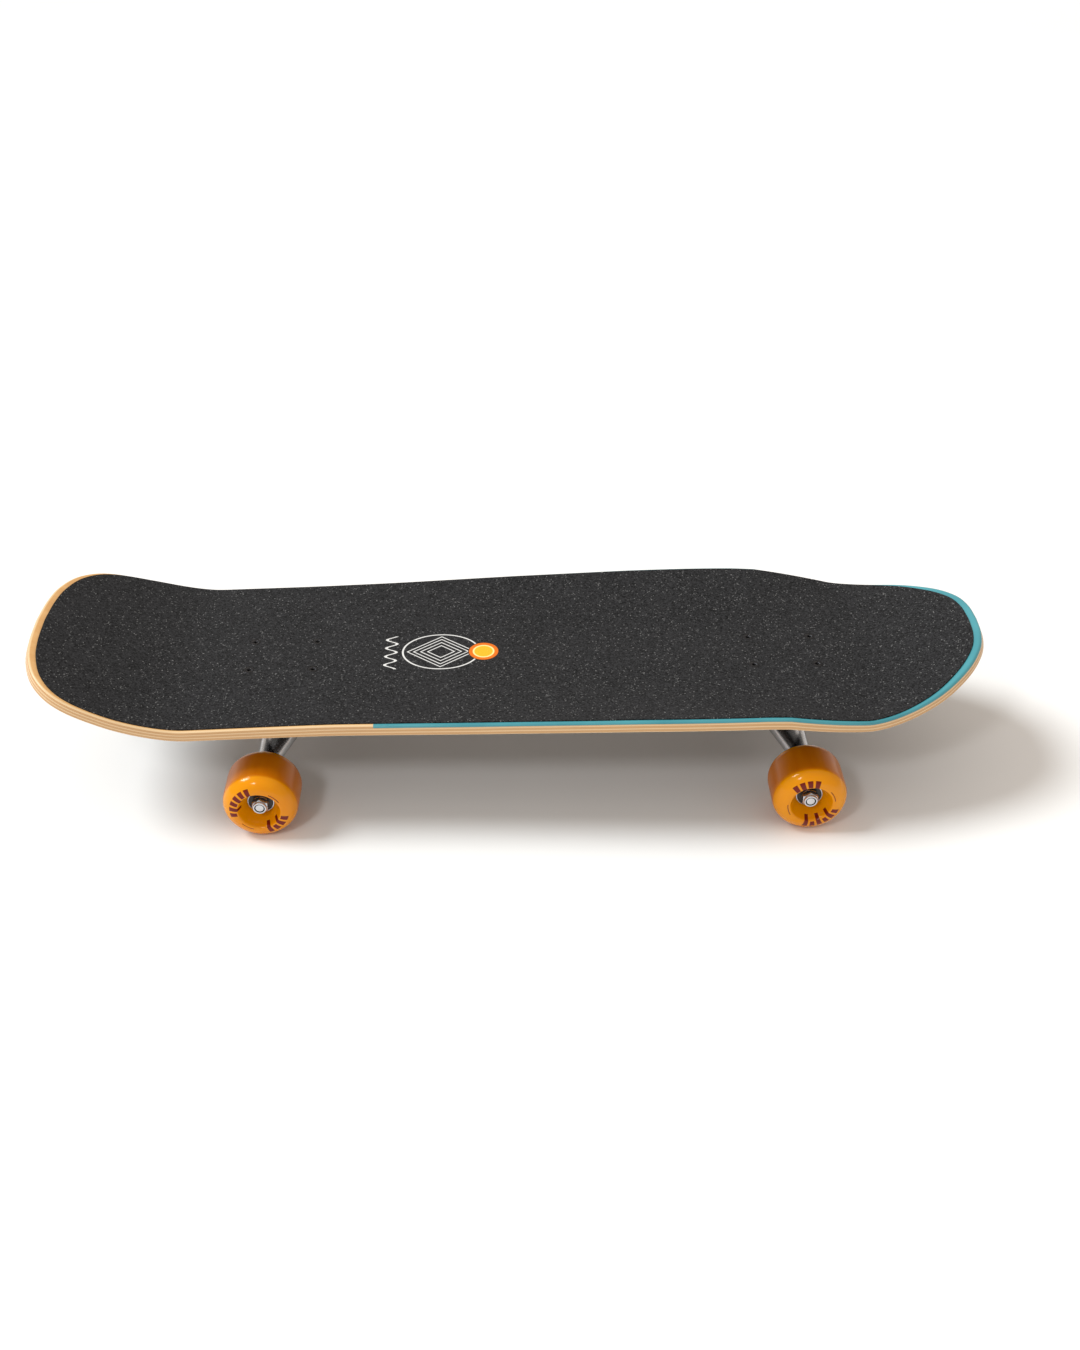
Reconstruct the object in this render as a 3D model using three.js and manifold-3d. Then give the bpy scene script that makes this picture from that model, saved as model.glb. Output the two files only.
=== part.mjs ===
// A complete cruiser skateboard: a seven-ply deck with kicked nose and tail, grip tape,
// and two traditional-kingpin trucks that carry four urethane wheels on ball bearings.
// Millimetres, +Z up, +X towards the nose. The origin is on the ground, below the deck's middle.

import * as THREE from "three";
import { ConvexGeometry } from "three/addons/geometries/ConvexGeometry.js";
import { mergeVertices } from "three/addons/utils/BufferGeometryUtils.js";
import Module from "manifold-3d";

const wasm = await Module();
wasm.setup();

// ---------------------------------------------------------------- driving dimensions

const GAP = 0.3; // running and resting gap between neighbouring pieces

// Wheels and what turns in them
const WHEEL_RADIUS = 31;
const WHEEL_WIDTH = 49;
const WHEEL_SIDES = 32;
const LIP_RADIUS = 13; // rounding between a wheel's side and its tread
const BEARING_RADIUS = 11;
const BEARING_WIDTH = 7;
const BEARING_PITCH = 17; // between the middles of a wheel's two bearings
const AXLE_RADIUS = 4;
const AXLE_HALF_LENGTH = 121;
const WHEEL_CENTRE_Y = 101;
// The dish in a wheel's side: radius, and distance from the wheel's middle.
const DISH = [[BEARING_RADIUS + GAP, 12.6], [14.2, 16.8], [16.8, 21.6]];
const LIP_STEPS = 3;
const AXLE_WASHER = { radius: 6.4, thickness: 0.9 };
const AXLE_NUT = { radius: 7.3, height: 6.8 };

// Deck
const DECK_THICKNESS = 10;
const DECK_BOTTOM_Z = 87.8; // underside of the deck where the trucks bolt on
const EDGE_RADIUS = 2.1; // rounding of the deck's upper and lower edges
const GRIP_THICKNESS = 0.8;
const GRIP_MARGIN = { side: 2.4, tail: 5.8, nose: 5.8 }; // bare rim outside the grip tape
const LENGTH_CELLS = 42;
const WIDTH_CELLS = 8;
const SPINE_HALF_WIDTH = 29; // flat strip that the trucks need
const RAIL_HALF_WIDTH = 104;
const BOLT_SPACING_X = 53.98;
const BOLT_SPACING_Y = 41.28;
const REAR_TRUCK_X = -196.5;
const FRONT_TRUCK_X = 233;

// Bolts through the deck
const BOLT_SIDES = 12;
const BOLT_RADIUS = 2.4;
const BOLT_SLACK = 0.35;
const BOLT_HEAD_RADIUS = 4.6;
const BOLT_HEAD_HEIGHT = 3.2;
const BOLT_HEAD_RIM = 0.4;
const BOLT_LENGTH = 30;
const SOCKET_RADIUS = 1.85;
const SOCKET_DEPTH = 2.2;
const NUT_ACROSS_CORNERS = 9.24;
const NUT_HEIGHT = 5;

// Trucks, in a frame whose +X points to the middle of the board
const RISER_THICKNESS = 3;
const RISER_LENGTH = 86;
const RISER_WIDTH = 60;
const BASE_THICKNESS = 6;
const BASE_LENGTH = 81;
const BASE_WIDTH = 56;
const BOSS = { height: 14, faceRadius: 14.5, rootRadius: 17 };
const HOUSING = { length: 30, mouthRadius: 11.5, rootRadius: 14.5, overlap: 4 };
const PIVOT_CUP = { radius: 8.3, length: 11.4, lipRadius: 7.7, floor: 10.6, restRadius: 3.4 };
const KINGPIN_HEAD = { radius: 8.08, height: 4.4, pocketRadius: 8.9, pocketDepth: 3.2 };
const KINGPIN_NUT = { radius: 8.2, height: 7.5 };
const AXLE_X = -12; // the axle sits outboard of the bolt pattern's middle
const AXLE_Z = WHEEL_RADIUS;
const KINGPIN_LEAN = THREE.MathUtils.degToRad(15); // lower end leans inboard
const KINGPIN_RADIUS = 4.75;
const BOSS_FACE = new THREE.Vector3(8, 0, 72.5); // where the kingpin leaves the baseplate
const PIVOT = new THREE.Vector3(-25, 0, 71.5); // middle of the hanger's pivot ball
const HANGER_HALF_WIDTH = 87.9;
// The axle housing: radius at each distance from the hanger's middle.
const HOUSING_TUBE = [[62, 10.4], [74, 8.6], [86.9, 8], [87.9, 7]];
const WEB = { thickness: 7, halfWidth: 66, edgeRadius: 6.6 };
const ARM = { start: new THREE.Vector3(-7, 0, 45), rootRadius: 13, tipRadius: 7, sunk: 6, tipGap: 4.5 };
const SPINE = { halfWidth: 16, axleRadius: 10, armRadius: 11 };

const BASE_TOP_Z = DECK_BOTTOM_Z - GAP - RISER_THICKNESS - GAP;
const BASE_BOTTOM_Z = BASE_TOP_Z - BASE_THICKNESS;

// Colours, roughness and metalness
const FINISHES = {
  maple: { color: 0xd9a86c, roughness: 0.45, metalness: 0 },
  grip: { color: 0x2b2b2d, roughness: 0.95, metalness: 0 },
  urethane: { color: 0xf08c05, roughness: 0.25, metalness: 0 },
  aluminium: { color: 0xb4b5b8, roughness: 0.35, metalness: 1 },
  steel: { color: 0xc8c8ca, roughness: 0.25, metalness: 1 },
  blackSteel: { color: 0x151517, roughness: 0.4, metalness: 1 },
  blackPaint: { color: 0x19191b, roughness: 0.45, metalness: 0 },
  blackRubber: { color: 0x141416, roughness: 0.6, metalness: 0 },
};

// ---------------------------------------------------------------- tools

const board = new THREE.Group();
const Z_AXIS = new THREE.Vector3(0, 0, 1);

function materialOf(finish) {
  return new THREE.MeshStandardMaterial(FINISHES[finish]);
}

// A closed geometry as a solid that can be joined and cut.
function solidOf(geometry) {
  const bare = geometry.clone();
  for (const name of ["normal", "uv"]) bare.deleteAttribute(name);
  const merged = mergeVertices(bare, 1e-4);
  return new wasm.Manifold(
    new wasm.Mesh({
      numProp: 3,
      vertProperties: new Float32Array(merged.attributes.position.array),
      triVerts: new Uint32Array(merged.index.array),
    }),
  );
}

function geometryOf(solid) {
  const mesh = solid.getMesh();
  const geometry = new THREE.BufferGeometry();
  const position = new Float32Array(mesh.numVert * 3);
  for (let i = 0; i < mesh.numVert; i++) {
    const start = i * mesh.numProp;
    position.set(mesh.vertProperties.subarray(start, start + 3), i * 3);
  }
  geometry.setAttribute("position", new THREE.BufferAttribute(position, 3));
  geometry.setIndex(new THREE.BufferAttribute(new Uint32Array(mesh.triVerts), 1));
  geometry.computeVertexNormals();
  return geometry;
}

function joined(...geometries) {
  return geometries.map(solidOf).reduce((a, b) => a.add(b));
}

function addMesh(parent, name, geometry, finish) {
  const mesh = new THREE.Mesh(geometry, materialOf(finish));
  mesh.name = name;
  parent.add(mesh);
  return mesh;
}

// Turns a geometry whose axis is +Z so that it lies along direction, from start.
function placeAlong(geometry, start, direction) {
  const turn = new THREE.Quaternion().setFromUnitVectors(Z_AXIS, direction);
  return geometry.applyQuaternion(turn).translate(start.x, start.y, start.z);
}

// A round or many-sided bar from start, of that length, along direction.
function bar(start, direction, length, radius, sides = 24, endRadius = radius) {
  const geometry = new THREE.CylinderGeometry(endRadius, radius, length, sides);
  geometry.rotateX(Math.PI / 2).translate(0, 0, length / 2);
  return placeAlong(geometry, start, direction);
}

// A solid of revolution about direction: outline holds [radius, distance along direction].
// The outline is given so that its faces point outwards.
function turned(start, direction, outline, sides) {
  const points = outline.map(([r, h]) => new THREE.Vector2(r, h));
  const geometry = new THREE.LatheGeometry(points, sides);
  geometry.rotateX(Math.PI / 2);
  return placeAlong(geometry, start, direction);
}

// A ring: a closed outline that doesn't touch the axis.
function ring(start, direction, inner, outer, length, sides = 24) {
  const outline = [[inner, 0], [outer, 0], [outer, length], [inner, length], [inner, 0]];
  return turned(start, direction, outline, sides);
}

// A six-sided nut with a hole through it.
function boredNut(start, direction, height, radius, bore) {
  const body = solidOf(bar(start, direction, height, radius, 6));
  const below = start.clone().addScaledVector(direction, -1);
  return geometryOf(body.subtract(solidOf(bar(below, direction, height + 2, bore, 16))));
}

// Circle of points, for hulls.
function circlePoints(centre, direction, radius, count) {
  const turn = new THREE.Quaternion().setFromUnitVectors(Z_AXIS, direction);
  return Array.from({ length: count }, (_, i) => {
    const angle = (2 * Math.PI * i) / count;
    return new THREE.Vector3(radius * Math.cos(angle), radius * Math.sin(angle), 0)
      .applyQuaternion(turn)
      .add(centre);
  });
}

function roundedRectangle(length, width, corner) {
  const [x, y] = [length / 2, width / 2];
  const shape = new THREE.Shape();
  shape.moveTo(-x + corner, -y);
  shape.lineTo(x - corner, -y);
  shape.absarc(x - corner, -y + corner, corner, -Math.PI / 2, 0);
  shape.lineTo(x, y - corner);
  shape.absarc(x - corner, y - corner, corner, 0, Math.PI / 2);
  shape.lineTo(-x + corner, y);
  shape.absarc(-x + corner, y - corner, corner, Math.PI / 2, Math.PI);
  shape.lineTo(-x, -y + corner);
  shape.absarc(-x + corner, -y + corner, corner, Math.PI, 1.5 * Math.PI);
  return shape;
}

const boltPlaces = [-1, 1].flatMap((i) =>
  [-1, 1].map((j) => new THREE.Vector2((i * BOLT_SPACING_X) / 2, (j * BOLT_SPACING_Y) / 2)),
);

// ---------------------------------------------------------------- deck and grip tape

// Half of the deck's plan outline, tail tip to nose tip. The other half mirrors it.
const halfOutline = new THREE.SplineCurve(
  [
    [-401.5, 0], [-400, 29], [-395.5, 54], [-385, 77.5], [-366, 94.5], [-336, 102.6],
    [-286, 106.2], [-146, 106.6], [4, 112.3], [134, 116.1], [209, 115.6], [259, 112],
    [304, 102.8], [346, 86], [374, 64.5], [390, 42.5], [396.6, 22], [398.2, 0],
  ].map(([x, y]) => new THREE.Vector2(x, y)),
);
halfOutline.arcLengthDivisions = 800;
const TAIL_CORNER = 0.1; // shares of the half outline's length
const NOSE_CORNER = 0.91;
const GRIP_STEPS = 60; // sides of the grip tape's outline, per half

const TAIL_KICK = { start: -261, slope: 0.46, easing: 50 };
const NOSE_KICK = { start: 289, slope: 0.5, easing: 45 };

// How far the rails stand above the spine, along the board.
const CONCAVE = [
  [-326, 0.6], [-271, 1.2], [-196, 3.8], [-146, 5.6], [4, 9], [104, 10.7],
  [204, 11.6], [222, 11.2], [289, 3.2], [401.5, 0],
];
const CONCAVE_POWER = 1.7;

function kickHeight(distance, { slope, easing }) {
  const d = Math.max(distance, 0);
  return slope * (d - easing * (1 - Math.exp(-d / easing)));
}

// The edge's height above the spine at x, eased between the stations of CONCAVE.
function concaveDepth(x) {
  const last = CONCAVE.length - 1;
  if (x <= CONCAVE[0][0]) return CONCAVE[0][1];
  if (x >= CONCAVE[last][0]) return CONCAVE[last][1];
  const i = CONCAVE.findIndex(([end]) => end > x) - 1;
  const [[x0, d0], [x1, d1]] = [CONCAVE[i], CONCAVE[i + 1]];
  const t = (x - x0) / (x1 - x0);
  return d0 + (d1 - d0) * t;
}

function surfaceHeight(x, y) {
  const kick =
    kickHeight(TAIL_KICK.start - x, TAIL_KICK) + kickHeight(x - NOSE_KICK.start, NOSE_KICK);
  const beyondSpine = Math.max(Math.abs(y) - SPINE_HALF_WIDTH, 0);
  const share = beyondSpine / (RAIL_HALF_WIDTH - SPINE_HALF_WIDTH);
  return kick + concaveDepth(x) * share ** CONCAVE_POWER;
}

// A point of the outline at share s of the half outline, moved in by inset, on side 1 or -1.
function outlinePoint(s, side, inset) {
  const p = halfOutline.getPointAt(s);
  const t = halfOutline.getTangentAt(s);
  return new THREE.Vector2(p.x + t.y * inset, side * Math.max(p.y - t.x * inset, 0));
}

// Maps a square, u and v from -1 to 1, onto the inset outline (a Coons patch).
function patchPoint(u, v, inset) {
  const sideShare = TAIL_CORNER + ((u + 1) / 2) * (NOSE_CORNER - TAIL_CORNER);
  const [a, b] = [(u + 1) / 2, (v + 1) / 2];
  const sideOfV = v < 0 ? -1 : 1;
  const left = outlinePoint(TAIL_CORNER * Math.abs(v), sideOfV, inset);
  const right = outlinePoint(1 - (1 - NOSE_CORNER) * Math.abs(v), sideOfV, inset);
  const low = outlinePoint(sideShare, -1, inset);
  const high = outlinePoint(sideShare, 1, inset);
  const point = new THREE.Vector2();
  point.addScaledVector(low, 1 - b).addScaledVector(high, b);
  point.addScaledVector(left, 1 - a).addScaledVector(right, a);
  const corners = [
    [TAIL_CORNER, -1, (1 - a) * (1 - b)], [TAIL_CORNER, 1, (1 - a) * b],
    [NOSE_CORNER, -1, a * (1 - b)], [NOSE_CORNER, 1, a * b],
  ];
  for (const [s, side, weight] of corners)
    point.addScaledVector(outlinePoint(s, side, inset), -weight);
  return point;
}

const DECK_MIDDLE_Z = DECK_BOTTOM_Z + DECK_THICKNESS / 2;

// The point that lies height above the deck's middle surface, square to it.
function deckPoint(x, y, height) {
  const step = 0.5;
  const slopeX = (surfaceHeight(x + step, y) - surfaceHeight(x - step, y)) / (2 * step);
  const slopeY = (surfaceHeight(x, y + step) - surfaceHeight(x, y - step)) / (2 * step);
  const normal = new THREE.Vector3(-slopeX, -slopeY, 1).normalize();
  const middle = new THREE.Vector3(x, y, DECK_MIDDLE_Z + surfaceHeight(x, y));
  return middle.addScaledVector(normal, height);
}

// A sheet that follows the deck. Layers run from -1, the underside, to 1, the top.
function sheetGeometry(lengthCells, widthCells, layers, insetOf, heightOf) {
  const geometry = new THREE.BoxGeometry(2, 2, 2, lengthCells, widthCells, layers);
  // The underside's cells get the same diagonals as the top's, so that stacked sheets nest.
  const underside = geometry.groups[5];
  for (let i = underside.start; i < underside.start + underside.count; i += 6) {
    const [a, b, d, , c] = geometry.index.array.slice(i, i + 6);
    geometry.index.array.set([a, b, c, a, c, d], i);
  }
  const position = geometry.attributes.position;
  for (let i = 0; i < position.count; i++) {
    const [u, v, layer] = [position.getX(i), position.getY(i), position.getZ(i)];
    const { x, y } = patchPoint(u, v, insetOf(layer));
    const p = deckPoint(x, y, heightOf(layer));
    position.setXYZ(i, p.x, p.y, p.z);
  }
  return geometry;
}

function throughDeck(radius) {
  return [REAR_TRUCK_X, FRONT_TRUCK_X].flatMap((x) =>
    boltPlaces.map((p) =>
      bar(new THREE.Vector3(x + p.x, p.y, 0), Z_AXIS, 2 * DECK_BOTTOM_Z, radius, BOLT_SIDES),
    ),
  );
}

// Insets and heights from the deck's underside round its edge to its top:
// a rounded corner, an upright side and another rounded corner.
function deckEdge() {
  const corner = [0, 1, 2].map((i) => {
    const angle = (i * Math.PI) / 4;
    const inset = EDGE_RADIUS * (1 - Math.sin(angle));
    return [inset, DECK_THICKNESS / 2 - EDGE_RADIUS * (1 - Math.cos(angle))];
  });
  return [...corner.map(([inset, height]) => [inset, -height]), ...corner.reverse()];
}

function makeDeck() {
  const edge = deckEdge();
  const atLayer = (layer) => edge[Math.round(((layer + 1) / 2) * (edge.length - 1))];
  const insetOf = (layer) => atLayer(layer)[0];
  const heightOf = (layer) => atLayer(layer)[1];
  let deck = solidOf(
    sheetGeometry(LENGTH_CELLS, WIDTH_CELLS, edge.length - 1, insetOf, heightOf),
  );
  for (const hole of throughDeck(BOLT_RADIUS + BOLT_SLACK)) deck = deck.subtract(solidOf(hole));
  for (const sink of boltHeads(GAP)) deck = deck.subtract(solidOf(sink));
  addMesh(board, "deck", geometryOf(deck), "maple");
}

// The grip tape's own outline, as an upright block that trims its sheet.
function gripOutlineBlock() {
  const { side, tail, nose } = GRIP_MARGIN;
  const margin = (s) =>
    side +
    (tail - side) * (1 - THREE.MathUtils.smoothstep(s, 0.5 * TAIL_CORNER, 1.6 * TAIL_CORNER)) +
    (nose - side) * THREE.MathUtils.smoothstep(s, NOSE_CORNER - 0.07, NOSE_CORNER + 0.03);
  const along = (i, way) => outlinePoint(i / GRIP_STEPS, way, margin(i / GRIP_STEPS));
  const steps = Array.from({ length: GRIP_STEPS + 1 }, (_, i) => i);
  const near = steps.map((i) => along(i, -1));
  const far = steps.slice(1, -1).map((i) => along(i, 1));
  const shape = new THREE.Shape([...near, ...far.reverse()]);
  return new THREE.ExtrudeGeometry(shape, { depth: 3 * DECK_BOTTOM_Z, bevelEnabled: false });
}

function makeGripTape() {
  const low = DECK_THICKNESS / 2 + GAP;
  const heightOf = (layer) => low + ((layer + 1) / 2) * GRIP_THICKNESS;
  // The sheet has the deck's own facets, so the gap below it stays even.
  const sheet = solidOf(sheetGeometry(LENGTH_CELLS, WIDTH_CELLS, 1, () => EDGE_RADIUS, heightOf));
  let grip = sheet.intersect(solidOf(gripOutlineBlock()));
  for (const hole of throughDeck(BOLT_HEAD_RADIUS + GAP)) grip = grip.subtract(solidOf(hole));
  addMesh(board, "grip_tape", geometryOf(grip), "grip");
}

// ---------------------------------------------------------------- bolts through the deck

const BOLT_TOP_Z = DECK_BOTTOM_Z + DECK_THICKNESS + GAP + GRIP_THICKNESS;

// Countersunk head shapes grown by extra, at every bolt of both trucks.
function boltHeads(extra) {
  const height = BOLT_HEAD_HEIGHT + extra;
  const [narrow, wide] = [BOLT_RADIUS + extra, BOLT_HEAD_RADIUS + extra];
  return [REAR_TRUCK_X, FRONT_TRUCK_X].flatMap((x) =>
    boltPlaces.map((p) => {
      const start = new THREE.Vector3(x + p.x, p.y, BOLT_TOP_Z - height);
      return bar(start, Z_AXIS, height, narrow, BOLT_SIDES, wide);
    }),
  );
}

function makeDeckBolts(truckX, end) {
  const outline = [
    [0, 0], [BOLT_HEAD_RADIUS, 0], [BOLT_HEAD_RADIUS, BOLT_HEAD_RIM],
    [BOLT_RADIUS, BOLT_HEAD_HEIGHT], [BOLT_RADIUS, BOLT_LENGTH], [0, BOLT_LENGTH],
  ];
  boltPlaces.forEach((p, i) => {
    const top = new THREE.Vector3(truckX + p.x, p.y, BOLT_TOP_Z);
    const socketStart = top.clone().setZ(BOLT_TOP_Z - SOCKET_DEPTH);
    const socket = bar(socketStart, Z_AXIS, 2 * SOCKET_DEPTH, SOCKET_RADIUS, 6);
    const bolt = solidOf(turned(top, Z_AXIS.clone().negate(), outline, BOLT_SIDES));
    addMesh(board, `deck_bolt_${end}_${i + 1}`, geometryOf(bolt.subtract(solidOf(socket))), "blackSteel");

    const seat = top.clone().setZ(BASE_BOTTOM_Z - GAP - NUT_HEIGHT);
    const nut = boredNut(seat, Z_AXIS, NUT_HEIGHT, NUT_ACROSS_CORNERS / 2, BOLT_RADIUS + GAP);
    addMesh(board, `deck_nut_${end}_${i + 1}`, nut, "steel");
  });
}

// ---------------------------------------------------------------- truck

const KINGPIN_DOWN = new THREE.Vector3(Math.sin(KINGPIN_LEAN), 0, -Math.cos(KINGPIN_LEAN));
const onKingpin = (distance) => BOSS_FACE.clone().addScaledVector(KINGPIN_DOWN, distance);

// Distances along the kingpin from the baseplate's boss.
const CUP_WASHER = 1.4;
const UPPER_BUSHING = 14;
const RING_THICKNESS = 11;
const LOWER_BUSHING = 11;
const SEAT_DEPTH = 2; // how deep each bushing sits in the hanger's ring
const UPPER_CUP_AT = GAP;
const UPPER_BUSHING_AT = UPPER_CUP_AT + CUP_WASHER + GAP;
const RING_AT = UPPER_BUSHING_AT + UPPER_BUSHING + GAP - SEAT_DEPTH;
const LOWER_BUSHING_AT = RING_AT + RING_THICKNESS - SEAT_DEPTH + GAP;
const LOWER_CUP_AT = LOWER_BUSHING_AT + LOWER_BUSHING + GAP;
const KINGPIN_NUT_AT = LOWER_CUP_AT + CUP_WASHER + GAP;
const KINGPIN_END = KINGPIN_NUT_AT + KINGPIN_NUT.height + 1;
const RING_RADIUS = 20;
const SLOTTED_BORE = 7.6; // wide enough for the hanger to rock on its kingpin
const CONE_TIP_RADIUS = 9;
const UPPER_CUP_RADIUS = 13;
const LOWER_CUP_RADIUS = 10.4;
const BUSHING_RADIUS = 12.2;
const BUSHING_BULGE = 0.9;
const SEAT_RADIUS = BUSHING_RADIUS + 1.6;
const PIN_BORE = KINGPIN_RADIUS + GAP;

const RING_CENTRE = onKingpin(RING_AT + RING_THICKNESS / 2);
const AXLE = new THREE.Vector3(AXLE_X, 0, AXLE_Z);
const Y_AXIS = new THREE.Vector3(0, 1, 0);
const PIVOT_BALL_RADIUS = 6;
const ARM_DIRECTION = PIVOT.clone().sub(ARM.start).normalize();
const HOUSING_MOUTH = PIVOT.clone().addScaledVector(ARM_DIRECTION, -HOUSING.overlap);

function plate(length, width, corner, top, thickness) {
  const shape = roundedRectangle(length, width, corner);
  for (const p of boltPlaces)
    shape.holes.push(new THREE.Path().absarc(p.x, p.y, BOLT_RADIUS + GAP, 0, 2 * Math.PI, true));
  return new THREE.ExtrudeGeometry(shape, {
    depth: thickness, bevelEnabled: false, curveSegments: 4,
  }).translate(0, 0, top - thickness);
}

function makeRiser(truck, end) {
  const pad = plate(RISER_LENGTH, RISER_WIDTH, 6, DECK_BOTTOM_Z - GAP, RISER_THICKNESS);
  addMesh(truck, `riser_pad_${end}`, pad, "blackRubber");
}

function makeBaseplate(truck, end) {
  const up = KINGPIN_DOWN.clone().negate();
  const { pocketDepth, pocketRadius } = KINGPIN_HEAD;
  const flat = plate(BASE_LENGTH, BASE_WIDTH, 5, BASE_TOP_Z, BASE_THICKNESS);
  const boss = bar(BOSS_FACE, up, BOSS.height, BOSS.faceRadius, 20, BOSS.rootRadius);
  const housing = bar(
    HOUSING_MOUTH, ARM_DIRECTION, HOUSING.length, HOUSING.mouthRadius, 20, HOUSING.rootRadius,
  );
  const aboveBase = new THREE.BoxGeometry(2 * BASE_LENGTH, 2 * BASE_WIDTH, BASE_LENGTH);
  aboveBase.translate(0, 0, BASE_TOP_Z + BASE_LENGTH / 2);
  // The housing ends flush with the plate's outboard edge.
  const beyondPlate = new THREE.BoxGeometry(BASE_LENGTH, 2 * BASE_WIDTH, 2 * BASE_LENGTH);
  beyondPlate.translate(-BASE_LENGTH, 0, BASE_TOP_Z);
  const cupStart = HOUSING_MOUTH.clone().addScaledVector(ARM_DIRECTION, -1);
  const cupSeat = bar(cupStart, ARM_DIRECTION, PIVOT_CUP.length + 1 + GAP, PIVOT_CUP.radius + GAP, 16);
  const pinHole = bar(onKingpin(1), up, BOSS.height * 2, PIN_BORE, 20);
  const headPocket = bar(onKingpin(-pocketDepth), up, BOSS.height * 2, pocketRadius, 20);
  const base = [aboveBase, beyondPlate, cupSeat, pinHole, headPocket].reduce(
    (solid, cutter) => solid.subtract(solidOf(cutter)),
    joined(flat, boss, housing),
  );
  addMesh(truck, `baseplate_${end}`, geometryOf(base), "blackPaint");
}

// The cup lines the baseplate's housing and holds the hanger's ball.
function makePivotCup(truck, end) {
  const { radius, length, lipRadius, floor, restRadius } = PIVOT_CUP;
  const bore = PIVOT_BALL_RADIUS + GAP;
  const outline = [
    [0, length], [0, floor], [restRadius, floor - 1], [bore, floor - 5], [bore, 2.6],
    [lipRadius, 0], [radius, 0], [radius, length], [0, length],
  ];
  addMesh(truck, `pivot_cup_${end}`, turned(HOUSING_MOUTH, ARM_DIRECTION, outline, 16), "blackRubber");
}

function makeKingpin(truck, end) {
  const headStart = onKingpin(-KINGPIN_HEAD.height - KINGPIN_HEAD.pocketDepth);
  const head = bar(headStart, KINGPIN_DOWN, KINGPIN_HEAD.height, KINGPIN_HEAD.radius, 6);
  // The shaft starts inside the head, so the two join.
  const sunk = KINGPIN_HEAD.height;
  const shaft = bar(onKingpin(-sunk), KINGPIN_DOWN, KINGPIN_END + sunk, KINGPIN_RADIUS, 16);
  addMesh(truck, `kingpin_${end}`, geometryOf(joined(head, shaft)), "steel");

  const nutStart = onKingpin(KINGPIN_NUT_AT);
  const nut = boredNut(nutStart, KINGPIN_DOWN, KINGPIN_NUT.height, KINGPIN_NUT.radius, PIN_BORE);
  addMesh(truck, `kingpin_nut_${end}`, nut, "steel");
}

function makeBushings(truck, end) {
  const chamfer = 0.8;
  const [end0, wide] = [BUSHING_RADIUS - chamfer, BUSHING_RADIUS];
  const barrel = (length) => [
    [PIN_BORE, 0], [end0, 0], [wide, chamfer], [wide + BUSHING_BULGE, length / 2],
    [wide, length - chamfer], [end0, length], [PIN_BORE, length], [PIN_BORE, 0],
  ];
  const cone = (length) => [
    [PIN_BORE, 0], [end0, 0], [wide, chamfer], [wide - chamfer / 2, length / 3],
    [CONE_TIP_RADIUS, length], [PIN_BORE, length], [PIN_BORE, 0],
  ];
  const upper = turned(onKingpin(UPPER_BUSHING_AT), KINGPIN_DOWN, barrel(UPPER_BUSHING), 20);
  const lower = turned(onKingpin(LOWER_BUSHING_AT), KINGPIN_DOWN, cone(LOWER_BUSHING), 20);
  addMesh(truck, `bushing_upper_${end}`, upper, "blackRubber");
  addMesh(truck, `bushing_lower_${end}`, lower, "blackRubber");

  const washers = { upper: [UPPER_CUP_AT, UPPER_CUP_RADIUS], lower: [LOWER_CUP_AT, LOWER_CUP_RADIUS] };
  for (const [place, [distance, radius]] of Object.entries(washers)) {
    const washer = ring(onKingpin(distance), KINGPIN_DOWN, PIN_BORE, radius, CUP_WASHER, 20);
    addMesh(truck, `cup_washer_${place}_${end}`, washer, "steel");
  }
}

// The round housing along the axle, end to end.
function axleHousing() {
  const half = HANGER_HALF_WIDTH;
  const oneSide = HOUSING_TUBE.map(([distance, radius]) => [radius, half + distance]);
  const otherSide = HOUSING_TUBE.map(([distance, radius]) => [radius, half - distance]).reverse();
  const outline = [[0, 0], ...otherSide, ...oneSide, [0, 2 * half]];
  return turned(AXLE.clone().setY(-half), Y_AXIS, outline, 16);
}

// The web spreads from the ring out along the axle housing.
function hangerWeb() {
  return new ConvexGeometry(
    [-1, 1].flatMap((side) => {
      const faceMiddle = RING_CENTRE.clone();
      faceMiddle.addScaledVector(KINGPIN_DOWN, (side * WEB.thickness) / 2);
      return [
        ...circlePoints(faceMiddle, KINGPIN_DOWN, RING_RADIUS - 1, 16),
        ...circlePoints(AXLE.clone().setY(side * WEB.halfWidth), Y_AXIS, WEB.edgeRadius, 8),
      ];
    }),
  );
}

// A rib from the axle housing up to the arm.
function hangerSpine() {
  return new ConvexGeometry([
    ...circlePoints(AXLE.clone().setY(-SPINE.halfWidth), Y_AXIS, SPINE.axleRadius, 10),
    ...circlePoints(AXLE.clone().setY(SPINE.halfWidth), Y_AXIS, SPINE.axleRadius, 10),
    ...circlePoints(ARM.start, ARM_DIRECTION, SPINE.armRadius, 10),
  ]);
}

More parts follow.
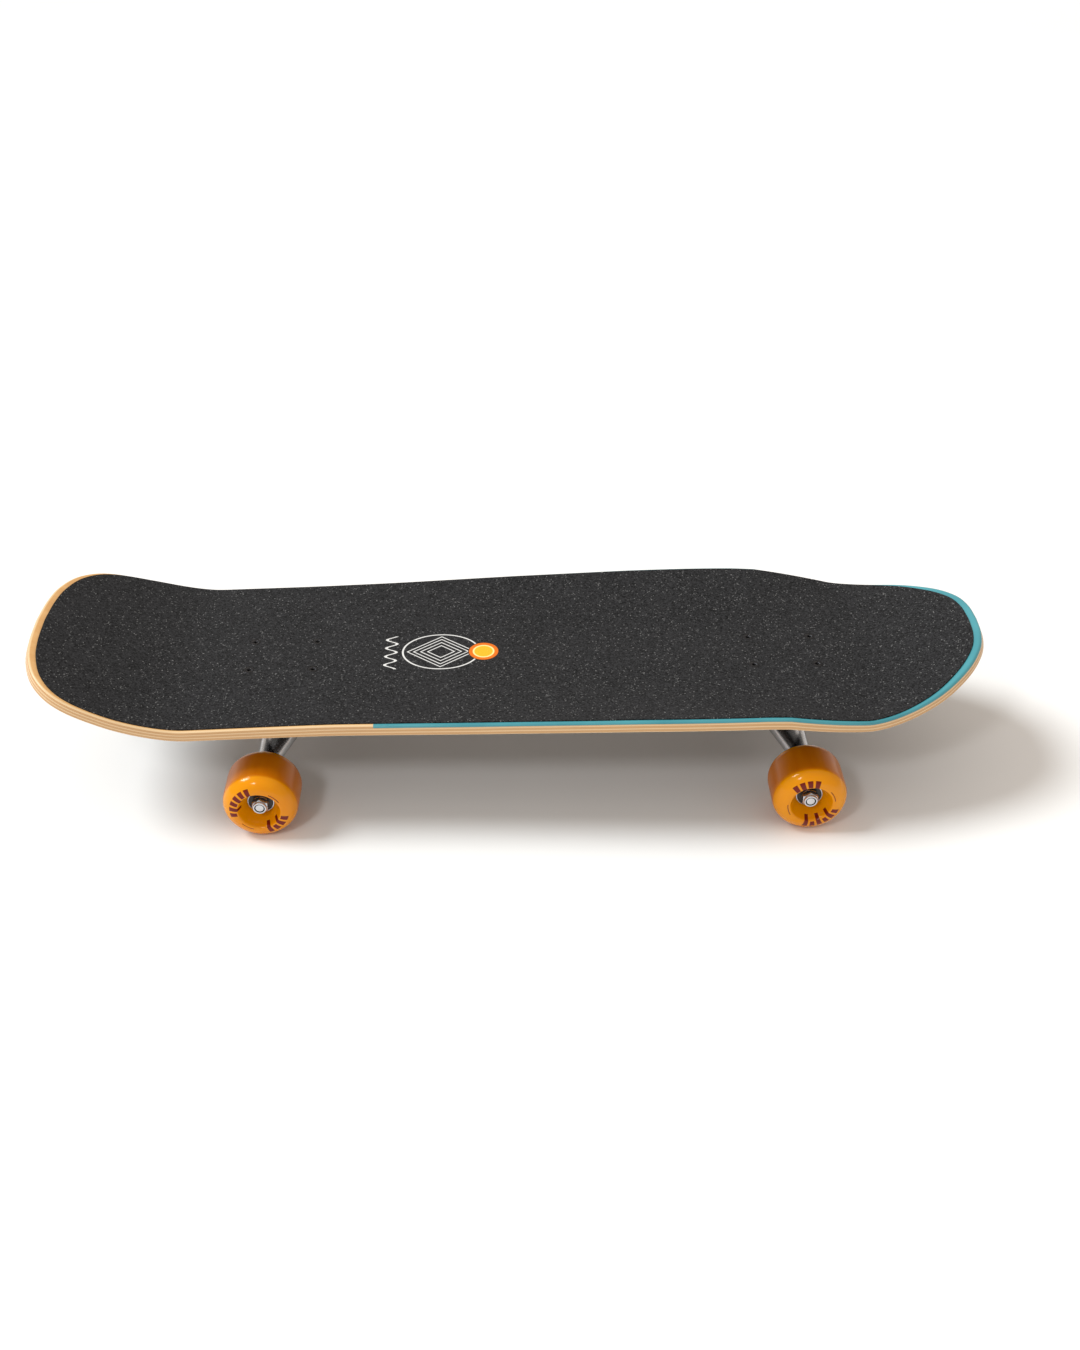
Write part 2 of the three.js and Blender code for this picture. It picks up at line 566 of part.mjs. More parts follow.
function makeHanger(truck, end) {
  const armStart = ARM.start.clone().addScaledVector(ARM_DIRECTION, -ARM.sunk);
  const armLength = PIVOT.distanceTo(armStart);
  const ringBody = bar(onKingpin(RING_AT), KINGPIN_DOWN, RING_THICKNESS, RING_RADIUS, 24);
  const arm = bar(
    armStart, ARM_DIRECTION, armLength - ARM.tipGap, ARM.rootRadius, 14, ARM.tipRadius,
  );
  const neck = bar(armStart, ARM_DIRECTION, armLength + 1, PIVOT_BALL_RADIUS - 0.4, 10);
  const ball = new THREE.SphereGeometry(PIVOT_BALL_RADIUS, 12, 8);
  ball.translate(PIVOT.x, PIVOT.y, PIVOT.z);

  const deep = 2 * RING_RADIUS;
  const pinBore = bar(onKingpin(RING_AT - deep / 2), KINGPIN_DOWN, 2 * deep, SLOTTED_BORE, 16);
  const upperSeat = bar(onKingpin(RING_AT + SEAT_DEPTH - deep), KINGPIN_DOWN, deep, SEAT_RADIUS, 20);
  const lowerSeatAt = RING_AT + RING_THICKNESS - SEAT_DEPTH;
  const lowerSeat = bar(onKingpin(lowerSeatAt), KINGPIN_DOWN, deep, SEAT_RADIUS, 20);
  const boreStart = AXLE.clone().setY(-AXLE_HALF_LENGTH);
  const axleBore = bar(boreStart, Y_AXIS, 2 * AXLE_HALF_LENGTH, AXLE_RADIUS + GAP, 12);
  const hanger = [pinBore, upperSeat, lowerSeat, axleBore].reduce(
    (solid, cutter) => solid.subtract(solidOf(cutter)),
    joined(axleHousing(), ringBody, hangerWeb(), arm, neck, ball, hangerSpine()),
  );
  addMesh(truck, `hanger_${end}`, geometryOf(hanger), "aluminium");
}

function makeAxle(truck, end) {
  const start = AXLE.clone().setY(-AXLE_HALF_LENGTH);
  const axle = bar(start, Y_AXIS, 2 * AXLE_HALF_LENGTH, AXLE_RADIUS, 16);
  addMesh(truck, `axle_${end}`, axle, "steel");
}

// ---------------------------------------------------------------- wheels

// The wheel's section, as [radius, distance from its middle], seat to tread to seat.
function wheelOutline() {
  // Flats between the corners touch the ground, so the corners stand a little further out.
  const tread = WHEEL_RADIUS / Math.cos(Math.PI / WHEEL_SIDES);
  const lip = Array.from({ length: LIP_STEPS + 1 }, (_, i) => {
    const angle = (i / LIP_STEPS) * (Math.PI / 2);
    return [
      tread - LIP_RADIUS * (1 - Math.sin(angle)),
      WHEEL_WIDTH / 2 - LIP_RADIUS * (1 - Math.cos(angle)),
    ];
  });
  const face = [...DISH, ...lip];
  const mirrored = face.map(([radius, distance]) => [radius, -distance]);
  return [...mirrored, ...face.reverse(), mirrored[0]];
}

function makeWheel(truck, name, side) {
  const centre = AXLE.clone().setY(side * WHEEL_CENTRE_Y);
  const outward = Y_AXIS.clone().multiplyScalar(side);
  const outBy = (distance) => centre.clone().addScaledVector(outward, distance);
  const bore = AXLE_RADIUS + GAP;

  // Half a side's turn brings a flat to the bottom.
  const wheel = turned(new THREE.Vector3(), Y_AXIS, wheelOutline(), WHEEL_SIDES);
  wheel.rotateY(Math.PI / WHEEL_SIDES).translate(centre.x, centre.y, centre.z);
  addMesh(truck, `wheel_${name}`, wheel, "urethane");

  for (const [place, way] of Object.entries({ outer: 1, inner: -1 })) {
    const start = outBy((way * BEARING_PITCH) / 2 - BEARING_WIDTH / 2);
    const bearing = ring(start, outward, bore, BEARING_RADIUS, BEARING_WIDTH, 24);
    addMesh(truck, `bearing_${name}_${place}`, bearing, "steel");
  }

  const washerAt = (BEARING_PITCH + BEARING_WIDTH) / 2 + GAP;
  const washer = ring(outBy(washerAt), outward, bore, AXLE_WASHER.radius, AXLE_WASHER.thickness, 20);
  addMesh(truck, `axle_washer_${name}`, washer, "steel");

  const nutAt = washerAt + AXLE_WASHER.thickness + GAP;
  const nut = boredNut(outBy(nutAt), outward, AXLE_NUT.height, AXLE_NUT.radius, bore);
  addMesh(truck, `axle_nut_${name}`, nut, "steel");
}

function makeTruck(end, x, turn) {
  const truck = new THREE.Group();
  truck.position.set(x, 0, 0);
  truck.rotation.z = turn;
  makeRiser(truck, end);
  makeBaseplate(truck, end);
  makePivotCup(truck, end);
  makeKingpin(truck, end);
  makeBushings(truck, end);
  makeHanger(truck, end);
  makeAxle(truck, end);
  // +Y is the board's left; the front truck is turned half round, so its sides swap.
  const left = turn === 0 ? 1 : -1;
  makeWheel(truck, `${end}_left`, left);
  makeWheel(truck, `${end}_right`, -left);
  board.add(truck);
}

makeDeck();
makeGripTape();
makeDeckBolts(REAR_TRUCK_X, "rear");
makeDeckBolts(FRONT_TRUCK_X, "front");
makeTruck("rear", REAR_TRUCK_X, 0);
makeTruck("front", FRONT_TRUCK_X, Math.PI);

export default board;
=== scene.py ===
# %% [markdown]
# # A cruiser skateboard
# This lesson finishes a skateboard around a frame of plain solids that already has the right sizes.
# The frame also knows what moves: two hangers that steer and four wheels that roll.
# Every piece that is made here rides on one of those bodies, in the same metres.

# %% Load the frame
import math

import bpy
from mathutils import Matrix, Vector


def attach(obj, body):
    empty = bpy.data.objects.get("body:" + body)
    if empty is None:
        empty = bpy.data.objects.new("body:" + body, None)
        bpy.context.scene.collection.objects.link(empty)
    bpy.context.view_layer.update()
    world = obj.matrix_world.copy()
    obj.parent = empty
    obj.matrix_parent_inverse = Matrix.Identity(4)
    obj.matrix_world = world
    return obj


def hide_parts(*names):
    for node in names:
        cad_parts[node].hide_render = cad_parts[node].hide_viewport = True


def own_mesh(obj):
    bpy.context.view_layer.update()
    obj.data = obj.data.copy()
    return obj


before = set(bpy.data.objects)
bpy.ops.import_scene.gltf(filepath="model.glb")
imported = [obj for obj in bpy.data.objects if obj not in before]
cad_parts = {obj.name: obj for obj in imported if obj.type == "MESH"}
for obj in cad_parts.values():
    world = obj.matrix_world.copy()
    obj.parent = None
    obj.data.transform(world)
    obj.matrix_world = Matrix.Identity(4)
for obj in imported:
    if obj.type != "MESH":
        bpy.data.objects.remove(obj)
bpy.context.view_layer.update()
MM = 0.001

# %% [markdown]
# ## The camera
# The board is seen from its right side, about a metre away and well above it.
# A lens of 39 mm and a pitch of 36 degrees show its whole top and the side of its near wheels.

# %% Camera
CAMERA_PLACE = (0.0039, -1.0392, 0.8279)
CAMERA_PITCH = math.radians(35.91)
CAMERA_YAW = math.radians(1.10)
CAMERA_LENS, SENSOR_WIDTH = 39.27, 36

camera_data = bpy.data.cameras.new("camera")
camera_data.lens = CAMERA_LENS
camera_data.sensor_width = SENSOR_WIDTH
camera = bpy.data.objects.new("camera", camera_data)
camera.location = CAMERA_PLACE
camera.rotation_euler = (math.pi / 2 - CAMERA_PITCH, 0, -CAMERA_YAW)
bpy.context.scene.collection.objects.link(camera)
bpy.context.scene.camera = camera
print("Camera at", CAMERA_PLACE)

# %% [markdown]
# ## Small helpers
# Operators work on whatever is selected, so each step starts with nothing selected.
# A finished piece sits at the origin, and its place is in its mesh.


# %% Helpers for objects
MERGE_DISTANCE = 0.00001
SMOOTH_ANGLE = 35


def select_only(piece):
    """Leaves edit mode, deselects everything and makes this piece the active one."""
    if bpy.context.object and bpy.context.object.mode != "OBJECT":
        bpy.ops.object.mode_set(mode="OBJECT")
    bpy.ops.object.select_all(action="DESELECT")
    if piece:
        piece.select_set(True)
        bpy.context.view_layer.objects.active = piece


def active_as(name):
    """Names the piece that an operator has just made, and its mesh."""
    piece = bpy.context.object
    piece.name = name
    piece.data.name = name
    return piece


def shade(piece, angle=SMOOTH_ANGLE):
    """Shades smoothly, apart from edges sharper than angle, in degrees."""
    select_only(piece)
    bpy.ops.object.shade_smooth_by_angle(angle=math.radians(angle))


def apply_modifiers(piece):
    select_only(piece)
    for modifier in list(piece.modifiers):
        bpy.ops.object.modifier_apply(modifier=modifier.name)


def point_out(piece):
    """Merges doubles and turns all faces outwards."""
    select_only(piece)
    bpy.ops.object.mode_set(mode="EDIT")
    bpy.ops.mesh.select_all(action="SELECT")
    bpy.ops.mesh.remove_doubles(threshold=MERGE_DISTANCE)
    bpy.ops.mesh.normals_make_consistent(inside=False)
    bpy.ops.object.mode_set(mode="OBJECT")


def copy_of(piece, name, matrix):
    """A copy with a mesh of its own, moved by matrix."""
    copy = piece.copy()
    copy.data = piece.data.copy()
    copy.name = copy.data.name = name
    copy.data.transform(matrix)
    bpy.context.scene.collection.objects.link(copy)
    return copy


def plain_copy(node, name):
    """A copy of one of the frame's solids, without its parent, notes and materials."""
    copy = copy_of(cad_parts[node], name, Matrix.Identity(4))
    copy.parent = None
    for key in list(copy.keys()):
        del copy[key]
    copy.data.materials.clear()
    point_out(copy)
    return copy


def join(piece, other):
    """Joins other into piece, which keeps its name."""
    select_only(piece)
    other.select_set(True)
    bpy.ops.object.join()


def remove(piece):
    bpy.data.objects.remove(piece, do_unlink=True)


print("Meshes merge points closer than", MERGE_DISTANCE / MM, "mm")


# %% [markdown]
# ## Turning on a lathe
# Wheels, bearings, bushings and washers are round, and real ones are moulded or turned. A screw
# modifier could spin an outline, but a circle that is extruded and scaled from ring to ring needs
# no second object, and it goes along the outline as a lathe tool would.
# A closed outline makes a ring; an open one is capped at both ends.


# %% A lathe made of extrusions
HEX_SIDES = 6
ROUND, MIDDLE_ROUND, FINE_ROUND, FULL_ROUND = 32, 40, 48, 64
NUT_ANGLE = 25


def turned(name, outline, segments=FULL_ROUND, angle=SMOOTH_ANGLE):
    """outline holds (radius, height) in millimetres, about the Z axis."""
    select_only(None)
    first_radius, first_height = outline[0]
    bpy.ops.mesh.primitive_circle_add(
        vertices=segments, radius=first_radius * MM, location=(0, 0, first_height * MM)
    )
    piece = active_as(name)
    bpy.ops.object.mode_set(mode="EDIT")
    bpy.ops.mesh.select_all(action="SELECT")
    for (radius, height), (next_radius, next_height) in zip(outline, outline[1:]):
        rise = (0, 0, (next_height - height) * MM)
        bpy.ops.mesh.extrude_region_move(TRANSFORM_OT_translate={"value": rise})
        scale = next_radius / radius
        bpy.ops.transform.resize(
            value=(scale, scale, 1), center_override=(0, 0, next_height * MM)
        )
    bpy.ops.mesh.select_all(action="SELECT")
    bpy.ops.mesh.remove_doubles(threshold=MERGE_DISTANCE)
    bpy.ops.mesh.select_all(action="SELECT")
    bpy.ops.mesh.fill_holes(sides=0)
    bpy.ops.object.mode_set(mode="OBJECT")
    bpy.ops.object.transform_apply(location=True, rotation=True, scale=True)
    point_out(piece)
    shade(piece, angle)
    return piece


def cut(piece, tool, operation="DIFFERENCE"):
    """Cuts piece with tool and throws the tool away."""
    modifier = piece.modifiers.new("cut", "BOOLEAN")
    modifier.operation = operation
    modifier.object = tool
    modifier.solver = "EXACT"
    apply_modifiers(piece)
    remove(tool)


def hex_nut(name, across_flats, height, bore, chamfer):
    """A hexagonal nut that stands on the origin: a prism, its corners turned off, then bored."""
    corner = across_flats / math.sqrt(3)
    nut = turned(name, [(corner, 0), (corner, height)], HEX_SIDES)
    narrow, wide = across_flats / 2 - 0.1, corner + 0.3
    blank = turned(
        "blank",
        [(narrow, -0.01), (wide, chamfer), (wide, height - chamfer), (narrow, height + 0.01)],
        FINE_ROUND,
    )
    cut(nut, blank, "INTERSECT")
    cut(nut, turned("bore", [(bore, -1), (bore, height + 1)], ROUND))
    shade(nut, NUT_ANGLE)
    return nut


print("A round piece has", FULL_ROUND, "sides unless it says otherwise")


# %% [markdown]
# ## Where things are
# These sizes repeat those of the frame. A truck has its own small frame of reference, whose X
# points to the middle of the board, so that each piece is made once and copied to both trucks.

# %% Places
# All in millimetres, apart from the turns.
DECK_THICKNESS = 10
DECK_BOTTOM = 87.8
GRIP_GAP = 0.3
GRIP_THICKNESS = 0.8
BOLT_SPACING = (53.98, 41.28)
TRUCKS = {"rear": (-196.5, 0), "front": (233, math.pi)}
AXLE_PLACE = Vector((-12, 0, 31))
WHEEL_CENTRE = 101
KINGPIN_LEAN = math.radians(15)
BOSS_FACE = Vector((8, 0, 72.5))
KINGPIN_DOWN = Vector((math.sin(KINGPIN_LEAN), 0, -math.cos(KINGPIN_LEAN)))


def truck_matrix(end):
    """From a truck's own millimetre frame, already scaled to metres, to the board's."""
    x, turn = TRUCKS[end]
    return Matrix.Translation((x * MM, 0, 0)) @ Matrix.Rotation(turn, 4, "Z")


def along(place, direction):
    """Takes +Z to direction and the origin to place, in millimetres."""
    turn = Vector((0, 0, 1)).rotation_difference(direction).to_matrix().to_4x4()
    return Matrix.Translation(place * MM) @ turn


def on_kingpin(distance):
    """The point on the kingpin's line at a distance below the baseplate's boss."""
    return BOSS_FACE + KINGPIN_DOWN * distance


print("Axle to axle:", TRUCKS["front"][0] - TRUCKS["rear"][0] - 2 * AXLE_PLACE.x, "mm")

# %% [markdown]
# ## Recipes for materials
# A material is a chain of nodes. The helper adds a node, sets its values and joins its inputs.
# Everything reads object coordinates or a piece's own attribute, so a pattern stays on its piece.


# %% Node helpers
class Recipe:
    """Builds one material. Numbers go on sockets, and other nodes' outputs are linked."""

    def __init__(self, name):
        self.material = bpy.data.materials.new(name)
        self.material.use_nodes = True
        self.tree = self.material.node_tree
        self.shader = self.tree.nodes["Principled BSDF"]
        self.place = self.tree.nodes.new("ShaderNodeTexCoord").outputs["Object"]

    def put(self, socket, value):
        """Links an output to a socket, or sets the socket to a number."""
        if isinstance(value, bpy.types.NodeSocket):
            self.tree.links.new(value, socket)
        else:
            socket.default_value = value

    def node(self, kind, settings=None, **inputs):
        node = self.tree.nodes.new(kind)
        for key, value in (settings or {}).items():
            setattr(node, key, value)
        for key, value in inputs.items():
            self.put(node.inputs[key.replace("_", " ")], value)
        return node

    def finish(self, **inputs):
        for key, value in inputs.items():
            self.put(self.shader.inputs[key.replace("_", " ")], value)
        return self.material

    def math(self, operation, *values):
        node = self.node("ShaderNodeMath", {"operation": operation})
        for socket, value in zip(node.inputs, values):
            self.put(socket, value)
        return node.outputs[0]

    def noise(self, scale, detail=4, stretch=(1, 1, 1), roughness=0.5, place=None):
        mapping = self.node("ShaderNodeMapping", Vector=place or self.place, Scale=stretch)
        node = self.node(
            "ShaderNodeTexNoise", Vector=mapping.outputs[0], Scale=scale, Detail=detail,
            Roughness=roughness,
        )
        return node.outputs["Fac"]

    def ramp(self, value, stops, smooth=True):
        node = self.node("ShaderNodeValToRGB", Fac=value)
        node.color_ramp.interpolation = "LINEAR" if smooth else "CONSTANT"
        elements = node.color_ramp.elements
        while len(elements) < len(stops):
            elements.new(0.5)
        for element, (position, colour) in zip(elements, sorted(stops)):
            element.position = position
            element.color = (*colour, 1)
        return node.outputs["Color"]

    def mix(self, amount, first, second):
        node = self.node("ShaderNodeMix", {"data_type": "RGBA"})
        self.put(node.inputs["Factor"], amount)
        for socket, value in ((node.inputs[6], first), (node.inputs[7], second)):
            self.put(socket, (*value, 1) if isinstance(value, tuple) else value)
        return node.outputs[2]

    def bump(self, height, strength, distance):
        node = self.node(
            "ShaderNodeBump", Strength=strength, Distance=distance, Height=height
        )
        return node.outputs["Normal"]

    def axes(self, place=None):
        node = self.node("ShaderNodeSeparateXYZ", Vector=place or self.place)
        return node.outputs["X"], node.outputs["Y"], node.outputs["Z"]

    def attribute(self, name):
        return self.node("ShaderNodeAttribute", {"attribute_name": name})

    def between(self, value, low, high, soft):
        """1 where value is between low and high, with a soft border."""
        rise = self.node("ShaderNodeMapRange", Value=value, From_Min=low, From_Max=low + soft)
        fall = self.node("ShaderNodeMapRange", Value=value, From_Min=high, From_Max=high + soft)
        return self.math("SUBTRACT", rise.outputs[0], fall.outputs[0])


def linear(*rgb):
    """A colour as seen on a screen, 0 to 255, as the light values that nodes use."""
    return tuple(((c / 255 + 0.055) / 1.055) ** 2.4 if c > 10 else c / 255 / 12.92 for c in rgb)


print("Middle grey on a screen is", round(linear(128)[0], 3), "in light")


# %% [markdown]
# ## Maple and its teal lacquer
# The deck is pressed from seven veneers, so its edge shows stripes, and its faces show long grain.
# From just behind the middle to the nose, the top of the edge is coated in thick teal resin.
# The stripes follow the deck's bend, so they read an attribute: the height above the middle ply.

# %% Deck material
# The teal starts at a place in metres. Heights over the middle ply are in millimetres.
TEAL_START = -0.112
TEAL_BOTTOM = 2.3
PLY_COUNT = 7
GLUE_HALF_LINE = 0.008
PLY_WANDER = 0.25
EDGE_TOP = 4.9
FAR = 99
maple = Recipe("maple_plies")
height = maple.attribute("ply_height").outputs["Fac"]
wander = maple.noise(60, 3, (0.2, 1, 1))
layer = maple.math(
    "ADD", height, maple.math("MULTIPLY", maple.math("SUBTRACT", wander, 0.5), PLY_WANDER)
)
share = maple.node(
    "ShaderNodeMapRange", Value=layer, From_Min=-DECK_THICKNESS / 2, From_Max=DECK_THICKNESS / 2
).outputs[0]
PALE_PLY = linear(226, 196, 150)
TAN_PLY = linear(202, 158, 108)
GLUE = linear(160, 116, 78)
ply_stops = [(0, PALE_PLY)]
for ply in range(1, PLY_COUNT):
    joint, next_ply = ply / PLY_COUNT, TAN_PLY if ply % 2 else PALE_PLY
    ply_stops += [(joint - GLUE_HALF_LINE, GLUE), (joint + GLUE_HALF_LINE, next_ply)]
plies = maple.ramp(share, ply_stops, smooth=False)
grain = maple.noise(90, 6, (0.05, 1, 1), 0.6)
streaks = maple.noise(420, 3, (0.03, 1, 1), 0.7)
figure = maple.noise(7, 3, (0.5, 1, 1))
grain_tint = maple.ramp(grain, [(0.3, linear(212, 158, 94)), (0.7, linear(232, 186, 124))])
pore_tint = maple.mix(maple.math("MULTIPLY", streaks, 0.35), grain_tint, linear(194, 140, 82))
face_tint = maple.mix(maple.math("MULTIPLY", figure, 0.4), pore_tint, linear(226, 176, 114))
on_edge = maple.between(maple.math("ABSOLUTE", height), -1, EDGE_TOP, 0.06)
edge_tint = maple.mix(maple.math("MULTIPLY", streaks, 0.3), plies, linear(180, 130, 84))
# The bottom veneer is stained dark, and its grain still shows through.
is_bottom = maple.math("LESS_THAN", height, -EDGE_TOP)
stain = maple.mix(grain, linear(38, 33, 31), linear(62, 54, 49))
stained_tint = maple.mix(is_bottom, face_tint, stain)
wood_tint = maple.mix(on_edge, stained_tint, edge_tint)
along_board = maple.axes()[0]
forward = maple.between(along_board, TEAL_START, 1, 0.0004)
upper = maple.between(height, TEAL_BOTTOM, 9, 0.2)
coated = maple.math("MULTIPLY", forward, upper)
swirl = maple.noise(18, 4)
teal = maple.ramp(swirl, [(0.3, linear(58, 134, 146)), (0.7, linear(74, 152, 162))])
fine_grain = maple.math("MULTIPLY", streaks, maple.math("SUBTRACT", 1.0, coated))
wood_roughness = maple.node("ShaderNodeMapRange", Value=grain, To_Min=0.38, To_Max=0.55)
maple_material = maple.finish(
    Base_Color=maple.mix(coated, wood_tint, teal),
    Roughness=maple.math(
        "SUBTRACT", wood_roughness.outputs[0], maple.math("MULTIPLY", coated, 0.28)
    ),
    Coat_Weight=0.15,
    Coat_Roughness=0.25,
    Normal=maple.bump(fine_grain, 0.25, 0.0002),
)
print("Deck material has", len(maple.tree.nodes), "nodes")

# %% [markdown]
# ## The grit of the grip tape
# Grip tape is black sandpaper. Close up it is a field of sharp grains, and some catch the light.
# The grains are small random cells: each cell gets its own brightness, and a few are painted light
# grey as sparkles, a painted glint for grains that catch the light.
# A small painted emblem sits near the middle. It is made of plain shapes: an oval ring with nested
# diamonds, a round spot, and a wavy line.

# %% Grip material
FINE_GRIT, COARSE_GRIT = 1000.0, 1150.0
SPARK_LIMIT, SMALL_SPARK_LIMIT = 0.988, 0.97
grip = Recipe("grip_grit")
grains = grip.node("ShaderNodeTexVoronoi", Vector=grip.place, Scale=FINE_GRIT)
grain_mix = grip.node("ShaderNodeSeparateColor", Color=grains.outputs["Color"])
coarse = grip.node("ShaderNodeTexVoronoi", Vector=grip.place, Scale=COARSE_GRIT)
coarse_mix = grip.node("ShaderNodeSeparateColor", Color=coarse.outputs["Color"])
cloud = grip.noise(26, 3)
tone = grip.math("MULTIPLY_ADD", grain_mix.outputs[0], 0.8, grip.math("MULTIPLY", cloud, 0.2))
grit_tint = grip.ramp(tone, [(0.1, linear(8, 8, 9)), (0.9, linear(50, 50, 52))])
# Sparkles: a few grains are painted light grey, a painted glint, and also get a lower roughness.
spark = grip.between(coarse_mix.outputs[1], SPARK_LIMIT, 2, 0.004)
small_spark = grip.between(grain_mix.outputs[2], SMALL_SPARK_LIMIT, 2, 0.01)
sparks = grip.math("MAXIMUM", spark, grip.math("MULTIPLY", small_spark, 0.5))
grit_and_painted_glints = grip.mix(grip.math("MULTIPLY", sparks, 0.45), grit_tint, linear(150, 150, 150))

x, y, _ = grip.axes()


def length_of(recipe, first, second):
    """The length of a pair of numbers, as nodes."""
    squares = (recipe.math("POWER", first, 2.0), recipe.math("POWER", second, 2.0))
    return recipe.math("SQRT", recipe.math("ADD", *squares))


def border_distance(centre_x, centre_y, half_x, half_y, metric="ROUND"):
    """1 on the border of an oval or a diamond, less inside and more outside."""
    dx = grip.math("ABSOLUTE", grip.math("DIVIDE", grip.math("SUBTRACT", x, centre_x), half_x))
    dy = grip.math("ABSOLUTE", grip.math("DIVIDE", grip.math("SUBTRACT", y, centre_y), half_y))
    if metric == "DIAMOND":
        return grip.math("ADD", dx, dy)
    return length_of(grip, dx, dy)


# Places and sizes in metres: centre x, centre y, half length, half width.
OVAL = (-0.0615, 0.0035, 0.0335, 0.026)
SPOT = (-0.0248, 0.0034, 0.0125, 0.0125)
DIAMONDS = (0.34, 0.52, 0.70, 0.86)
DIAMOND_HALF_LINE = 0.022
WAVE_LENGTH, WAVE_HEIGHT, WAVE_PLACE, WAVE_HALF_LINE = 0.0125, 0.0045, -0.1045, 0.0011
WAVE_RIGHT, WAVE_LEFT = -0.022, 0.027
SOFT_BORDER = 0.0003
SPOT_CORE, SPOT_GAP = 0.62, 0.74
oval = border_distance(*OVAL)
diamond = border_distance(*OVAL, metric="DIAMOND")
white = grip.between(oval, 0.955, 1.0, 0.01)
for size in DIAMONDS:
    line = grip.between(diamond, size - DIAMOND_HALF_LINE, size + DIAMOND_HALF_LINE, 0.01)
    white = grip.math("MAXIMUM", white, line)
swing = grip.math("SINE", grip.math("MULTIPLY", y, 2 * math.pi / WAVE_LENGTH))
wave = grip.math("MULTIPLY_ADD", swing, WAVE_HEIGHT, WAVE_PLACE)
inside_wave = grip.between(y, WAVE_RIGHT, WAVE_LEFT, SOFT_BORDER)
from_wave = grip.math("ABSOLUTE", grip.math("SUBTRACT", x, wave))
ribbon = grip.between(from_wave, -1, WAVE_HALF_LINE, SOFT_BORDER)
white = grip.math("MAXIMUM", white, grip.math("MULTIPLY", ribbon, inside_wave))
spot = border_distance(*SPOT)
worn = grip.math("MULTIPLY_ADD", grain_mix.outputs[1], 0.18, 0.86)
clear_of_spot = grip.between(spot, 1.06, FAR, 0.02)
painted = grip.math("MULTIPLY", grip.math("MULTIPLY", white, worn), clear_of_spot)
with_white = grip.mix(painted, grit_and_painted_glints, linear(226, 226, 224))
with_ring = grip.mix(grip.between(spot, -1, 1.0, 0.03), with_white, linear(222, 112, 26))
with_gap = grip.mix(grip.between(spot, SPOT_CORE, SPOT_GAP, 0.02), with_ring, linear(250, 226, 150))
with_spot = grip.mix(grip.between(spot, -1, SPOT_CORE, 0.02), with_gap, linear(246, 180, 40))
sheen = grip.node("ShaderNodeMapRange", Value=sparks, To_Min=0.9, To_Max=0.45)
grip_material = grip.finish(
    Base_Color=with_spot,
    Roughness=sheen.outputs[0],
    Specular_IOR_Level=0.25,
    Normal=grip.bump(grains.outputs["Distance"], 0.7, 0.0003),
)
print("Grip material has", len(grip.tree.nodes), "nodes")

# %% [markdown]
# ## Amber urethane
# The wheels are cast urethane: glossy, a little cloudy and deep in colour, because light enters it.
# Subsurface scattering gives that depth. A maroon print on the face is made of plain wedges and
# thin arcs round the hub. It reads where a point lies on its own wheel, an attribute of each wheel.

# %% Wheel material
# Radii in millimetres, and shares of a turn round the hub.
WEDGE_FOOT, SHORT_WEDGE_RISE, WEDGE_TOP = 15.0, 3.2, 24.2
WEDGE_ROWS = ((0.29, 0.55, 6), (0.79, 0.97, 4))
ARCS = ((0.08, 0.17), (0.61, 0.70))
ARC_INSIDE, ARC_OUTSIDE = 19.2, 19.9
TREAD_START = 30.2
PRINT_DEPTH = 5
urethane = Recipe("amber_urethane")
face = urethane.attribute("wheel_place").outputs["Vector"]
face_x, face_y, depth = urethane.axes(face)
radius = length_of(urethane, face_x, face_y)
turn_share = urethane.math(
    "FRACT", urethane.math("DIVIDE", urethane.math("ARCTAN2", face_y, face_x), 2 * math.pi)
)


def print_wedges(first, last, count):
    """Wedges side by side over a share of a turn, by turns tall and short."""
    reach = urethane.between(turn_share, first, last, 0.0005)
    step = urethane.math(
        "MULTIPLY", urethane.math("SUBTRACT", turn_share, first), count / (last - first)
    )
    wedge = urethane.between(urethane.math("FRACT", step), 0.10, 0.78, 0.02)
    is_odd = urethane.math("FLOOR", urethane.math("MODULO", step, 2.0))
    foot = urethane.math("MULTIPLY_ADD", is_odd, SHORT_WEDGE_RISE, WEDGE_FOOT)
    tall = urethane.math("GREATER_THAN", radius, foot)
    below_top = urethane.between(radius, 0, WEDGE_TOP, 0.15)
    upright = urethane.math("MULTIPLY", wedge, urethane.math("MULTIPLY", tall, below_top))
    return urethane.math("MULTIPLY", reach, upright)


ink = urethane.math("MAXIMUM", *(print_wedges(*row) for row in WEDGE_ROWS))
for first, last in ARCS:
    arc = urethane.math(
        "MULTIPLY", urethane.between(turn_share, first, last, 0.002),
        urethane.between(radius, ARC_INSIDE, ARC_OUTSIDE, 0.1),
    )
    ink = urethane.math("MAXIMUM", ink, arc)
outer_side = urethane.between(depth, PRINT_DEPTH, FAR, 0.1)
ink = urethane.math("MULTIPLY", ink, outer_side)
haze = urethane.noise(30, 3)
amber = urethane.ramp(haze, [(0.3, linear(222, 136, 0)), (0.7, linear(230, 150, 0))])
